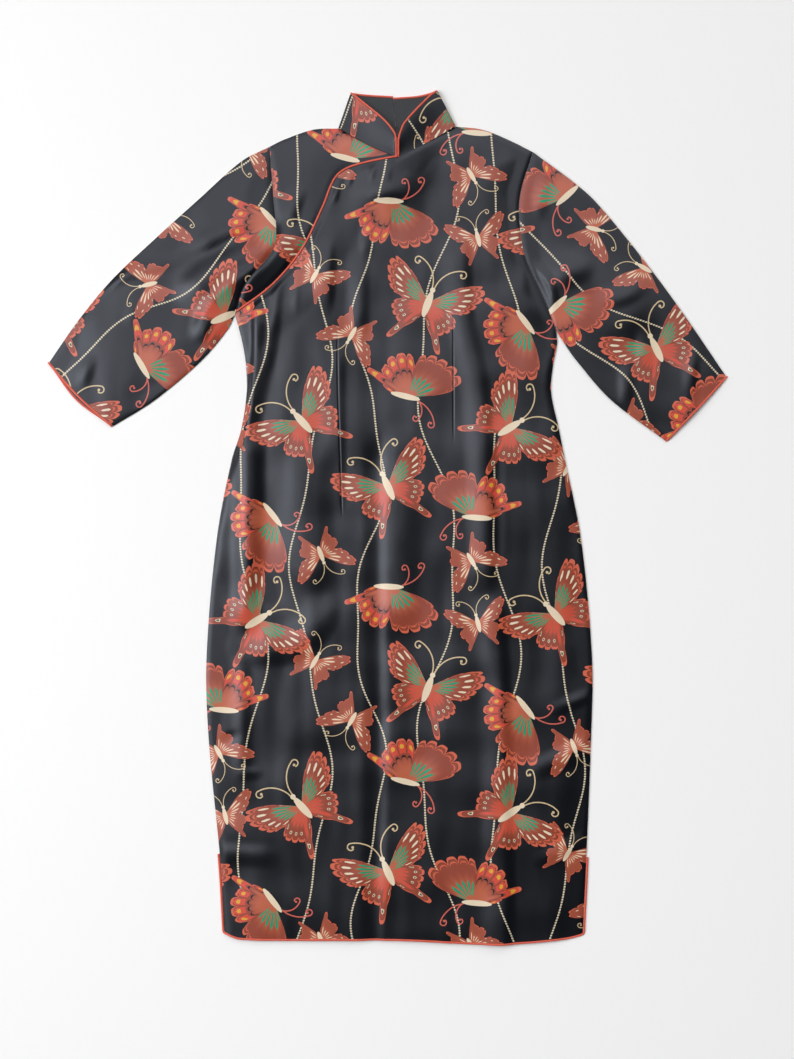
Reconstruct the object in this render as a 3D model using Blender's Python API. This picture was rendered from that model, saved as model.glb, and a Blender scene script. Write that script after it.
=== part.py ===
"""Cheongsam dress with elbow sleeves, laid flat on its back with its front up.

The dress lies on the plane z = 0, its collar towards +Y and its hem towards -Y.  Every cut
piece of cloth is a closed wall of its own: two back halves, the front, the underlap below
the slanting opening, two sleeves, two collar halves with their linings, and the coral piping
on the collar, opening, cuffs, hem and side slits.  Left and right are the viewer's.
Places on the dress are given across from its midline and up from its hem.
"""
import math
from collections import namedtuple

import bmesh
import bpy
from mathutils import Vector

# Driving sizes in metres
LENGTH = 1.1368
MIDLINE_X = 0.0134
CLOTH = 0.0012
LINING = 0.0010
SEAM_GAP = 0.0003
FRONT_LOW = CLOTH + SEAM_GAP

# Piping: how wide it shows, and how thick it is on one layer, on the opening and on the collar
PIPING_WIDTH = 0.0028
PIPING_ON_EDGE = CLOTH
PIPING_ON_OPENING = 0.0018
PIPING_ON_COLLAR = 0.0020
PIPING_FLAT_SHARE = 0.5
SHARPEST_TURN = -0.2

# How the front and the sleeves stand off the layer below them
FRONT_PUFF = 0.0030
FRONT_PUFF_REACH = 0.050
SLEEVE_PUFF = 0.0020
SLEEVE_PUFF_REACH = 0.045
SLEEVE_MOST = 0.0035
CUFF_BOW_LEFT = 0.0035
CUFF_BOW_RIGHT = -0.0005
FOLD_EDGE = 0.0013

# The underlap reaches this far below the front, which is lifted over it
UNDERLAP_WIDTH = 0.022
UNDERLAP_SPARE = 0.006
UNDERLAP_TAPER = 4.0
UNDERLAP_STEP = CLOTH + 0.0006
UNDERLAP_FADE = 0.032

# The collar: how high its four layers are at the neck seam and at its top edge
COLLAR_DEPTH = CLOTH + SEAM_GAP + LINING
COLLAR_LOW = 2 * COLLAR_DEPTH + SEAM_GAP
COLLAR_RISE = 0.0034
COLLAR_FOLD = 0.0035
NECK_LIFT = COLLAR_LOW - CLOTH - FRONT_LOW
NECK_LIFT_REACH = 0.075
SHOULDER_HOLD = 0.030

# How finely the cloth is divided, and in how many of its rows the side slits run up
SIDE_ROWS = 24
SLIT_ROWS = 3
BACK_SIDE_ROWS = 16
BACK_SLIT_ROWS = 2
ARMHOLE_ROWS = 10
FRONT_COLUMNS = 24
OPENING_COLUMNS = 7
NECK_COLUMNS = 9
BACK_NECK_COLUMNS = 5
SHOULDER_COLUMNS = 3
SLEEVE_ROWS = 13
COLLAR_ROWS = 4
COLLAR_FOLD_STEPS = 4
CURVE_STEPS = 24
SHARP_DEGREES = 50
CHEST_UP = 0.95

Spot = namedtuple("Spot", "name across up")
Section = namedtuple("Section", "name up left right")
Fold = namedtuple("Fold", "name across up to_across to_up width height")
Finish = namedtuple("Finish", "name color roughness")

# The width of the body left and right of its midline, from the hem to the bust
BODY_SECTIONS = (
    Section("hem corner", 0.017, 0.2305, 0.2465),
    Section("slit top", 0.110, 0.2360, 0.2510),
    Section("knee", 0.273, 0.2515, 0.2575),
    Section("hip", 0.379, 0.2545, 0.2590),
    Section("high hip", 0.539, 0.2410, 0.2443),
    Section("belly", 0.645, 0.2210, 0.2230),
    Section("below the waist", 0.685, 0.2085, 0.2150),
    Section("waist", 0.735, 0.2010, 0.2045),
    Section("ribs", 0.771, 0.2020, 0.2070),
    Section("bust", 0.801, 0.2065, 0.2125),
)

HEM = (
    Spot("left corner", -0.2305, 0.0170),
    Spot("left quarter", -0.2080, 0.0098),
    Spot("middle", 0.0036, 0.0085),
    Spot("lowest", 0.1326, 0.0032),
    Spot("right quarter", 0.2240, 0.0098),
    Spot("right corner", 0.2465, 0.0150),
)

ARMHOLE_LEFT = (
    Spot("shoulder tip", -0.1706, 1.0620),
    Spot("upper", -0.1653, 0.9910),
    Spot("deepest", -0.1613, 0.9440),
    Spot("turn", -0.1665, 0.9215),
    Spot("lower", -0.2035, 0.8765),
    Spot("underarm", -0.2165, 0.8390),
)

ARMHOLE_RIGHT = (
    Spot("shoulder tip", 0.1805, 1.0547),
    Spot("upper", 0.1645, 1.0040),
    Spot("deepest", 0.1619, 0.9710),
    Spot("turn", 0.1698, 0.9160),
    Spot("lower", 0.1978, 0.8525),
    Spot("underarm", 0.2110, 0.8180),
)

SHOULDER_LEFT = (
    Spot("neck", -0.0789, 1.0865),
    Spot("flat part", -0.1121, 1.0848),
    Spot("slope", -0.1533, 1.0707),
)

SHOULDER_RIGHT = (
    Spot("neck", 0.0775, 1.0890),
    Spot("flat part", 0.1126, 1.0848),
    Spot("slope", 0.1486, 1.0707),
)

NECK_LEFT = (
    Spot("neck", -0.0789, 1.0865),
    Spot("side", -0.0403, 1.0640),
    Spot("centre front", -0.0005, 1.0454),
)

NECK_RIGHT = (
    Spot("neck", 0.0775, 1.0890),
    Spot("side", 0.0438, 1.0690),
    Spot("centre front", -0.0005, 1.0454),
)

BACK_NECK_LEFT = (
    Spot("neck", -0.0789, 1.0865),
    Spot("side", -0.0430, 1.0785),
    Spot("centre back", -0.0005, 1.0755),
)

BACK_NECK_RIGHT = (
    Spot("neck", 0.0775, 1.0890),
    Spot("side", 0.0430, 1.0800),
    Spot("centre back", -0.0005, 1.0755),
)

OPENING = (
    Spot("centre front", -0.0005, 1.0452),
    Spot("below the collar", -0.0450, 1.0378),
    Spot("before the turn", -0.0700, 1.0295),
    Spot("turn", -0.0835, 1.0165),
    Spot("chest", -0.0985, 0.9800),
    Spot("slant", -0.1270, 0.9230),
    Spot("side", -0.1660, 0.8765),
    Spot("underarm", -0.2165, 0.8390),
)

# The opening turns from the neck to the slant at its fourth spot
OPENING_TURN = 3
OPENING_FINENESS = 240

SLEEVE_TOP_LEFT = (
    Spot("shoulder tip", -0.1706, 1.0620),
    Spot("cap", -0.2079, 1.0427),
    Spot("upper arm", -0.2660, 0.9910),
    Spot("middle", -0.3249, 0.9377),
    Spot("above the elbow", -0.3808, 0.8845),
    Spot("elbow", -0.4247, 0.8313),
    Spot("cuff", -0.4635, 0.7755),
)

SLEEVE_UNDER_LEFT = (
    Spot("underarm", -0.2165, 0.8390),
    Spot("hollow", -0.2265, 0.8190),
    Spot("upper arm", -0.2610, 0.7780),
    Spot("middle", -0.3236, 0.7249),
    Spot("cuff", -0.3785, 0.6905),
)

SLEEVE_TOP_RIGHT = (
    Spot("shoulder tip", 0.1805, 1.0547),
    Spot("cap", 0.2310, 1.0175),
    Spot("upper arm", 0.2616, 0.9909),
    Spot("middle", 0.3068, 0.9377),
    Spot("above the elbow", 0.3480, 0.8845),
    Spot("elbow", 0.3866, 0.8310),
    Spot("cuff", 0.4368, 0.7570),
)

SLEEVE_UNDER_RIGHT = (
    Spot("underarm", 0.2110, 0.8180),
    Spot("hollow", 0.2190, 0.8047),
    Spot("upper arm", 0.2377, 0.7780),
    Spot("middle", 0.2842, 0.7250),
    Spot("cuff", 0.3560, 0.6710),
)

COLLAR_BACK_TOP_LEFT = (
    Spot("centre back", -0.0060, 1.1265),
    Spot("side", -0.0400, 1.1285),
    Spot("corner", -0.0632, 1.1310),
)

COLLAR_BACK_TOP_RIGHT = (
    Spot("centre back", -0.0060, 1.1245),
    Spot("side", 0.0300, 1.1275),
    Spot("corner", 0.0540, 1.1342),
)

COLLAR_FRONT_TOP_LEFT = (
    Spot("corner", -0.0632, 1.1310),
    Spot("upper slant", -0.0437, 1.1152),
    Spot("lower slant", -0.0192, 1.0940),
    Spot("turn", -0.0064, 1.0780),
    Spot("centre front", -0.0005, 1.0690),
)

COLLAR_FRONT_TOP_RIGHT = (
    Spot("corner", 0.0540, 1.1342),
    Spot("upper slant", 0.0437, 1.1265),
    Spot("lower slant", 0.0112, 1.0910),
    Spot("turn", 0.0052, 1.0780),
    Spot("centre front", -0.0005, 1.0690),
)

# The largest folds of the front, as ridges and troughs that fade out at both ends
FRONT_FOLDS = (
    Fold("ridge left of the long trough", 0.103, 0.700, 0.121, 0.020, 0.066, 0.0030),
    Fold("long trough", 0.131, 0.690, 0.154, 0.000, 0.040, -0.0028),
    Fold("ridge right of the long trough", 0.178, 0.620, 0.184, 0.060, 0.058, 0.0026),
    Fold("middle ridge", -0.012, 0.690, -0.020, 0.330, 0.072, 0.0028),
    Fold("low middle trough", -0.036, 0.360, -0.034, 0.000, 0.044, -0.0024),
    Fold("low left ridge", -0.085, 0.330, -0.080, 0.030, 0.070, 0.0020),
    Fold("left hip ridge", -0.164, 0.640, -0.166, 0.395, 0.054, 0.0036),
    Fold("left hip trough", -0.203, 0.520, -0.199, 0.270, 0.034, -0.0022),
    Fold("left hip step", -0.196, 0.388, -0.118, 0.404, 0.030, -0.0020),
    Fold("left rib ridge", -0.171, 0.855, -0.170, 0.690, 0.024, 0.0032),
    Fold("left rib trough", -0.190, 0.850, -0.188, 0.700, 0.024, -0.0018),
    Fold("left chest hollow", -0.085, 0.935, -0.085, 0.855, 0.036, -0.0020),
    Fold("right waist trough", 0.095, 0.850, 0.092, 0.655, 0.032, -0.0020),
    Fold("right chest ridge", 0.128, 0.930, 0.138, 0.760, 0.044, 0.0018),
    Fold("neck gather left", -0.050, 1.030, -0.045, 0.940, 0.024, 0.0016),
    Fold("neck gather right", -0.014, 1.030, -0.004, 0.950, 0.026, 0.0016),
    Fold("right hip crease", 0.206, 0.255, 0.252, 0.318, 0.028, 0.0022),
    Fold("right low crease", 0.190, 0.190, 0.246, 0.208, 0.028, -0.0018),
    Fold("left low crease", -0.246, 0.255, -0.200, 0.285, 0.028, 0.0020),
    Fold("left hem crease", -0.240, 0.150, -0.196, 0.196, 0.026, 0.0018),
)

SLEEVE_FOLDS = (
    Fold("left cap trough", -0.258, 0.925, -0.172, 0.956, 0.036, -0.0014),
    Fold("left cap ridge", -0.262, 0.962, -0.188, 0.990, 0.044, 0.0012),
    Fold("left elbow trough", -0.398, 0.862, -0.254, 0.913, 0.036, -0.0014),
    Fold("left elbow ridge", -0.384, 0.824, -0.236, 0.884, 0.044, 0.0012),
    Fold("left cuff trough", -0.410, 0.800, -0.396, 0.752, 0.040, -0.0012),
    Fold("right cap trough", 0.182, 1.026, 0.214, 0.998, 0.032, -0.0012),
    Fold("right cap ridge", 0.206, 0.978, 0.252, 0.992, 0.034, 0.0012),
    Fold("right arm trough", 0.214, 0.896, 0.340, 0.862, 0.046, -0.0014),
    Fold("right arm ridge", 0.226, 0.930, 0.314, 0.914, 0.042, 0.0012),
    Fold("right elbow ridge", 0.262, 0.828, 0.372, 0.800, 0.050, 0.0012),
    Fold("right cuff trough", 0.330, 0.760, 0.390, 0.742, 0.036, -0.0010),
)

PRINTED_SATIN = Finish("printed_satin", (0.030, 0.028, 0.034), 0.42)
DARK_LINING = Finish("dark_lining", (0.024, 0.026, 0.032), 0.62)
CORAL_PIPING = Finish("coral_piping", (0.680, 0.100, 0.060), 0.45)


def clear_scene():
    """Remove whatever objects the scene holds."""
    for thing in list(bpy.data.objects):
        bpy.data.objects.remove(thing, do_unlink=True)


def make_material(finish):
    """One Principled material in the finish's own colour and roughness."""
    material = bpy.data.materials.new(finish.name)
    material.use_nodes = True
    shader = material.node_tree.nodes["Principled BSDF"]
    shader.inputs["Base Color"].default_value = (*finish.color, 1.0)
    shader.inputs["Roughness"].default_value = finish.roughness
    shader.inputs["Metallic"].default_value = 0.0
    return material


def place(across, up):
    """A point of the dress in the frame's own plan."""
    return Vector((MIDLINE_X + across, up - LENGTH / 2))


def ease(amount):
    """A smooth step from 0 to 1."""
    t = min(max(amount, 0.0), 1.0)
    return t * t * (3.0 - 2.0 * t)


def evenly(points, steps):
    """The same line, divided into equal steps along its length."""
    lengths = [0.0]
    for before, after in zip(points, points[1:]):
        lengths.append(lengths[-1] + (after - before).length)
    line = []
    span = 0
    for step in range(steps + 1):
        target = lengths[-1] * step / steps
        while span < len(points) - 2 and lengths[span + 1] < target:
            span += 1
        share = (target - lengths[span]) / (lengths[span + 1] - lengths[span])
        line.append(points[span].lerp(points[span + 1], share))
    return line


def curve_through(corners, steps):
    """A smooth curve through all the corners, in equal steps."""
    if len(corners) == 2:
        return evenly(corners, steps)
    guides = [2 * corners[0] - corners[1], *corners, 2 * corners[-1] - corners[-2]]
    fine = []
    for k in range(1, len(guides) - 2):
        before, start, end, after = guides[k - 1:k + 3]
        stretch = (end - start).length
        leave = (end - before) * (stretch / ((end - start).length + (start - before).length))
        arrive = (after - start) * (stretch / ((after - end).length + (end - start).length))
        for step in range(CURVE_STEPS):
            t = step / CURVE_STEPS
            fine.append(
                start * (2 * t**3 - 3 * t**2 + 1)
                + leave * (t**3 - 2 * t**2 + t)
                + end * (3 * t**2 - 2 * t**3)
                + arrive * (t**3 - t**2)
            )
    fine.append(corners[-1])
    return evenly(fine, steps)


def line_of(spots, steps):
    """A smooth line through a table of spots."""
    return curve_through([place(spot.across, spot.up) for spot in spots], steps)


def split_at(line, corner, steps_before, steps_after):
    """A line cut in two at the point nearest a corner, each part in its own equal steps."""
    cut = min(range(len(line)), key=lambda k: (line[k] - corner).length)
    return evenly(line[:cut + 1], steps_before), evenly(line[cut:], steps_after)


def shifted(line, distance):
    """A line moved sideways by a distance, to the left of its own direction."""
    moved = []
    for k, point in enumerate(line):
        before = line[max(k - 1, 0)]
        after = line[min(k + 1, len(line) - 1)]
        way = (after - before).normalized()
        moved.append(point + Vector((-way.y, way.x)) * distance)
    return moved


def patch(bottom, top, start, end):
    """A grid of rows between four lines that meet at their corners."""
    columns = len(bottom) - 1
    rows = len(start) - 1
    grid = []
    for j in range(rows + 1):
        v = j / rows
        row = []
        for i in range(columns + 1):
            u = i / columns
            between_ends = start[j] * (1 - u) + end[j] * u
            between_lines = bottom[i] * (1 - v) + top[i] * v
            low_corner = bottom[0] * (1 - u) + bottom[-1] * u
            high_corner = top[0] * (1 - u) + top[-1] * u
            row.append(between_ends + between_lines - low_corner * (1 - v) - high_corner * v)
        grid.append(row)
    return grid


def nearest(point, lines):
    """The distance from a point to the nearest of some lines."""
    best = LENGTH
    for line in lines:
        for start, end in zip(line, line[1:]):
            way = end - start
            share = min(max((point - start).dot(way) / way.length_squared, 0.0), 1.0)
            best = min(best, (start + way * share - point).length)
    return best


def fold_height(point, folds):
    """How far all the folds together lift or lower the cloth at a point."""
    total = 0.0
    for fold in folds:
        start = place(fold.across, fold.up)
        way = place(fold.to_across, fold.to_up) - start
        length = way.length
        way.normalize()
        along = (point - start).dot(way)
        aside = (point - start).dot(Vector((-way.y, way.x)))
        if abs(aside) >= fold.width or not -fold.width < along < length + fold.width:
            continue
        profile = 0.5 + 0.5 * math.cos(math.pi * aside / fold.width)
        fade = ease((along + fold.width) / (2 * fold.width))
        fade *= ease((length + fold.width - along) / (2 * fold.width))
        total += fold.height * profile * fade
    return total


def finish_object(name, builder, material):
    """Turn a closed bmesh into a named object with its faces pointing out."""
    bmesh.ops.recalc_face_normals(builder, faces=builder.faces)
    mesh = bpy.data.meshes.new(name)
    builder.to_mesh(mesh)
    builder.free()
    mesh.materials.append(material)
    mesh.shade_smooth()
    mesh.set_sharp_from_angle(angle=math.radians(SHARP_DEGREES))
    thing = bpy.data.objects.new(name, mesh)
    bpy.context.collection.objects.link(thing)
    return thing


def cloth_wall(name, inner, outer, material, ring=False):
    """A closed wall between two grids of points; a ring's rows run all round."""
    builder = bmesh.new()
    inside = [[builder.verts.new(point) for point in row] for row in inner]
    outside = [[builder.verts.new(point) for point in row] for row in outer]
    rows = len(inner)
    columns = len(inner[0])
    across = columns if ring else columns - 1
    for skin in (inside, outside):
        for j in range(rows - 1):
            for i in range(across):
                near = (i + 1) % columns
                builder.faces.new((skin[j][i], skin[j][near], skin[j + 1][near], skin[j + 1][i]))
    for j in (0, rows - 1):
        for i in range(across):
            near = (i + 1) % columns
            builder.faces.new((inside[j][i], inside[j][near], outside[j][near], outside[j][i]))
    if not ring:
        for i in (0, columns - 1):
            for j in range(rows - 1):
                builder.faces.new((inside[j][i], inside[j + 1][i], outside[j + 1][i], outside[j][i]))
    return finish_object(name, builder, material)


def panel(name, grid, low, material):
    """A flat-cut panel whose underside follows a height function."""
    under = [[Vector((p.x, p.y, low(p))) for p in row] for row in grid]
    over = [[p + Vector((0, 0, CLOTH)) for p in row] for row in under]
    return cloth_wall(name, under, over, material)


def piping(name, edge, normals, side, thick, material, closed=False):
    """A flat rounded strip that runs along a cloth edge, a seam's gap away from it.

    The edge is a row of points in the middle of the wall, normals face out of the cloth, and
    side is 1 or -1 for the side of the edge that the strip lies on.
    """
    count = len(edge)
    pairs = [(k, (k + 1) % count) for k in range(count if closed else count - 1)]
    sides = []
    for here, there in pairs:
        way = (edge[there] - edge[here]).normalized()
        normal = (normals[here] + normals[there]).normalized()
        sides.append(normal.cross(way).normalized() * side)
    builder = bmesh.new()
    loops = []
    for k in range(count):
        before = sides[k - 1] if closed or k > 0 else sides[0]
        after = sides[k] if closed or k < count - 1 else sides[-1]
        out = (before + after) / (1.0 + max(before.dot(after), SHARPEST_TURN))
        up = normals[k] * (thick / 2)
        middle = edge[k] + out * (SEAM_GAP + PIPING_WIDTH / 2)
        half = out * (PIPING_WIDTH / 2)
        shoulder = half * PIPING_FLAT_SHARE
        loop = (
            middle + half, middle + shoulder + up, middle - shoulder + up,
            middle - half, middle - shoulder - up, middle + shoulder - up,
        )
        loops.append([builder.verts.new(point) for point in loop])
    for here, there in pairs:
        for i in range(len(loops[here])):
            near = (i + 1) % len(loops[here])
            builder.faces.new((loops[here][i], loops[here][near], loops[there][near], loops[there][i]))
    if not closed:
        builder.faces.new(loops[0])
        builder.faces.new(loops[-1])
    return finish_object(name, builder, material)


def body_lines(armhole_left, armhole_right):
    """The two side seams from the hem corners up to the underarms."""
    left = [place(-section.left, section.up) for section in BODY_SECTIONS]
    right = [place(section.right, section.up) for section in BODY_SECTIONS]
    left[0] = place(HEM[0].across, HEM[0].up)
    right[0] = place(HEM[-1].across, HEM[-1].up)
    left.append(armhole_left[0])
    right.append(armhole_right[0])
    return curve_through(left, SIDE_ROWS), curve_through(right, SIDE_ROWS)


def shoulder_line(spots, tip, neck):
    """The shoulder seam from the armhole's tip to the neck."""
    corners = [tip, *[place(spot.across, spot.up) for spot in reversed(spots[1:])], neck]
    return curve_through(corners, FRONT_COLUMNS - OPENING_COLUMNS - NECK_COLUMNS)


def make_front(lines, material):
    """The front panel: hem to underarms, then up to the opening, neck, shoulder and armhole."""
    side_left, side_right = lines["side_left"], lines["side_right"]
    hem = line_of(HEM, FRONT_COLUMNS)
    underarm_row = evenly([side_left[-1], side_right[-1]], FRONT_COLUMNS)
    lower = patch(hem, underarm_row, side_left, side_right)
    top = lines["opening_top"] + list(reversed(lines["neck_right"]))[1:]
    top += list(reversed(lines["shoulder_right"]))[1:]
    upper = patch(underarm_row, top, lines["opening_side"], lines["armhole_right"])
    grid = lower + upper[1:]

    held_down = [side_left, side_right, lines["opening_side"], lines["armhole_right"], top]

    def low(point):
        puff = FRONT_PUFF * ease(nearest(point, held_down) / FRONT_PUFF_REACH)
        loose = ease(nearest(point, held_down) / (FRONT_PUFF_REACH / 2))
        folded = max(puff + fold_height(point, FRONT_FOLDS) * loose, 0.0)
        return FRONT_LOW + folded + underlap_lift(point, lines) + neck_lift(point, lines)

    panel("front", grid, low, material)
    return grid, low


def underlap_lift(point, lines):
    """How far the front is lifted by the underlap below it."""
    reach = UNDERLAP_WIDTH + UNDERLAP_SPARE
    away = nearest(point, [lines["opening_side"], lines["opening_top"]])
    return UNDERLAP_STEP * ease(1.0 - (away - reach) / UNDERLAP_FADE)


def neck_lift(point, lines):
    """How far the neck edge stands up to meet the front of the collar."""
    from_neck = nearest(point, [lines["neck_left"], lines["neck_right"]])
    from_shoulder = nearest(point, [lines["shoulder_left"], lines["shoulder_right"]])
    lift = NECK_LIFT * ease(1.0 - from_neck / NECK_LIFT_REACH)
    return lift * ease(from_shoulder / SHOULDER_HOLD)


def make_underlap(lines, material):
    """The small panel below the opening, from the armhole to the centre front."""
    armhole = lines["armhole_left"]
    opening = lines["opening_side"] + lines["opening_top"][1:]
    hidden = []
    for k, point in enumerate(shifted(opening, -UNDERLAP_WIDTH)):
        share = min(UNDERLAP_TAPER * k / (len(opening) - 1), 1.0)
        hidden.append(opening[k].lerp(point, share))
    hidden = evenly(hidden, NECK_COLUMNS + SHOULDER_COLUMNS)
    hidden[0] = armhole[0]
    top = evenly(lines["shoulder_left"], SHOULDER_COLUMNS) + lines["neck_left"][1:]
    centre = evenly([hidden[-1], top[-1]], ARMHOLE_ROWS)
    grid = patch(hidden, top, armhole, centre)

    def low(point):
        return FRONT_LOW + neck_lift(point, lines)

    panel("front_underlap", grid, low, material)


def make_back_half(side_name, lines, material):
    """One half of the back, flat on the ground, with its edge on the centre-back seam."""
    sign = -1 if side_name == "left" else 1
    side = evenly(lines["side_" + side_name], BACK_SIDE_ROWS)
    armhole = lines["armhole_" + side_name]
    neck = lines["back_neck_" + side_name]
    shoulder = evenly(lines["shoulder_" + side_name], SHOULDER_COLUMNS)
    seam_x = neck[-1].x
    hem = [point for point in line_of(HEM, FRONT_COLUMNS) if (point.x - seam_x) * sign > CLOTH]
    hem.sort(key=lambda point: point.x * sign)
    foot = Vector((seam_x, hem[0].y))
    bust = Vector((seam_x, side[-1].y))
    columns = BACK_NECK_COLUMNS + SHOULDER_COLUMNS
    bust_row = evenly([bust, side[-1]], columns)
    seam_low = evenly([foot, bust], BACK_SIDE_ROWS)
    lower = patch(evenly([foot, *hem], columns), bust_row, seam_low, side)
    seam_high = evenly([bust, neck[-1]], ARMHOLE_ROWS)
    top = list(reversed(neck)) + list(reversed(shoulder))[1:]
    grid = lower + patch(bust_row, top, seam_high, armhole)[1:]
    panel("back_" + side_name, grid, lambda point: 0.0, material)
    return grid


def make_sleeve(side_name, lines, top_spots, under_spots, cuff_bow, satin, coral):
    """A sleeve laid flat: one wall that runs over and under, open at armhole and cuff."""
    start = list(reversed(lines["sleeve_" + side_name]))
    over = line_of(top_spots, SLEEVE_ROWS)
    under = line_of(under_spots, SLEEVE_ROWS)
    over[0] = start[0]
    under[0] = start[-1]
    across = under[-1] - over[-1]
    bow = Vector((across.y, -across.x)).normalized() * cuff_bow
    cuff = curve_through([over[-1], over[-1] + across / 2 + bow, under[-1]], ARMHOLE_ROWS)
    grid = patch(start, cuff, over, under)
    seams = [start, over, under]

    def low(point):
        away = nearest(point, seams)
        puff = SLEEVE_PUFF * ease(away / SLEEVE_PUFF_REACH)
        folded = puff + fold_height(point, SLEEVE_FOLDS) * ease(away / (SLEEVE_PUFF_REACH / 2))
        return FRONT_LOW + min(max(folded, 0.0), SLEEVE_MOST)

    halfway = (FRONT_LOW + CLOTH) / 2
    inner = []
    outer = []
    for row in grid:
        first = (row[1] - row[0]).normalized()
        last = (row[-2] - row[-1]).normalized()
        for skin, inset in ((outer, 0.0), (inner, CLOTH)):
            edge = row[0] + first * inset
            near_edge = row[0] + first * (inset + FOLD_EDGE)
            far_edge = row[-1] + last * inset
            near_far = row[-1] + last * (inset + FOLD_EDGE)
            plan = [near_edge, *row[1:-1], near_far]
            lift = CLOTH - inset
            ring = [Vector((*edge, halfway))]
            ring += [Vector((*point, low(point) + lift)) for point in plan]
            ring.append(Vector((*far_edge, halfway)))
            ring += [Vector((*point, inset)) for point in reversed(plan)]
            skin.append(ring)
    cloth_wall("sleeve_" + side_name, inner, outer, satin, ring=True)
    make_cuff_piping("piping_cuff_" + side_name, inner[-1], outer[-1], coral)


def make_cuff_piping(name, inner, outer, material):
    """A ring of piping on the open end of a sleeve."""
    middle = [a.lerp(b, 0.5) for a, b in zip(inner, outer)]
    normals = [(b - a).normalized() for a, b in zip(inner, outer)]
    hub = sum(middle, Vector()) / len(middle)
    arm = hub - Vector((*place(0.0, CHEST_UP), hub.z))
    way = (middle[1] - middle[0]).normalized()
    side = 1 if normals[0].lerp(normals[1], 0.5).cross(way).dot(arm) > 0 else -1
    piping(name, middle, normals, side, PIPING_ON_EDGE, material, closed=True)


def collar_rings(back_neck, back_top, front_neck, front_top, depth):
    """Rows of points round one collar half at a depth below its outer face.

    Each row runs from the centre back along the lower layer, round the side fold and along
    the upper layer to the centre front.
    """
    side = evenly([back_neck[-1], back_top[-1]], COLLAR_ROWS)
    centre_back = evenly([back_neck[0], back_top[0]], COLLAR_ROWS)
    centre_front = evenly([front_neck[-1], front_top[-1]], COLLAR_ROWS)
    lower = patch(back_neck, back_top, centre_back, side)
    upper = patch(front_neck, front_top, side, centre_front)
    rings = []
    for j in range(COLLAR_ROWS + 1):
        height = COLLAR_LOW + COLLAR_RISE * ease(j / COLLAR_ROWS)
        edge = side[j]
        into_lower = edge + (lower[j][-2] - edge).normalized() * COLLAR_FOLD
        into_upper = edge + (upper[j][1] - edge).normalized() * COLLAR_FOLD
        ring = [Vector((*point, depth)) for point in lower[j][:-1]]
        for step in range(COLLAR_FOLD_STEPS + 1):
            turn = math.pi * step / COLLAR_FOLD_STEPS
            foot = into_lower if turn <= math.pi / 2 else into_upper
            share = 1.0 - (1.0 - depth / COLLAR_FOLD) * math.sin(turn)
            plan = edge.lerp(foot, share)
            ring.append(Vector((*plan, height / 2 - (height / 2 - depth) * math.cos(turn))))
        ring += [Vector((*point, height - depth)) for point in upper[j][1:]]
        rings.append(ring)
    return rings


def make_collar_half(side_name, satin, lining, coral):
    """One half of the stand collar: satin outside, lining inside, and piping on its edge."""
    outline = collar_lines(side_name)
    outer = collar_rings(*outline, 0.0)
    inner = collar_rings(*outline, CLOTH)
    cloth_wall("collar_" + side_name, inner, outer, satin)
    outer_lining = collar_rings(*outline, CLOTH + SEAM_GAP)
    inner_lining = collar_rings(*outline, COLLAR_DEPTH)
    cloth_wall("collar_lining_" + side_name, inner_lining, outer_lining, lining)
    edge = []
    normals = []
    last = len(outer[0]) - 1
    route = [(COLLAR_ROWS, i) for i in range(last + 1)]
    route += [(j, last) for j in range(COLLAR_ROWS - 1, -1, -1)]
    for j, i in route:
        edge.append(outer[j][i].lerp(inner_lining[j][i], 0.5))
        normals.append((outer[j][i] - inner_lining[j][i]).normalized())
    side = 1 if side_name == "left" else -1
    piping("piping_collar_" + side_name, edge, normals, side, PIPING_ON_COLLAR, coral)


def make_hem_piping(name, grid, slit_rows, low, material):
    """Piping down one side slit, along the hem and up the other slit."""
    plan = [grid[j][0] for j in range(slit_rows, 0, -1)]
    plan += grid[0]
    plan += [grid[j][-1] for j in range(1, slit_rows + 1)]
    edge = [Vector((*point, low(point) + CLOTH / 2)) for point in plan]
    normals = [Vector((0, 0, 1))] * len(edge)
    piping(name, edge, normals, -1, PIPING_ON_EDGE, material)


def make_opening_piping(grid, low, material):
    """Piping along the slanting edge of the front, on top of the underlap."""
    plan = [grid[j][0] for j in range(SIDE_ROWS + 1, len(grid))]
    plan += grid[-1][1:OPENING_COLUMNS + 1]
    lift = PIPING_ON_OPENING / 2
    edge = [Vector((*point, low(point) + lift)) for point in plan]
    normals = [Vector((0, 0, 1))] * len(edge)
    piping("piping_opening", edge, normals, 1, PIPING_ON_OPENING, material)


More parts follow.
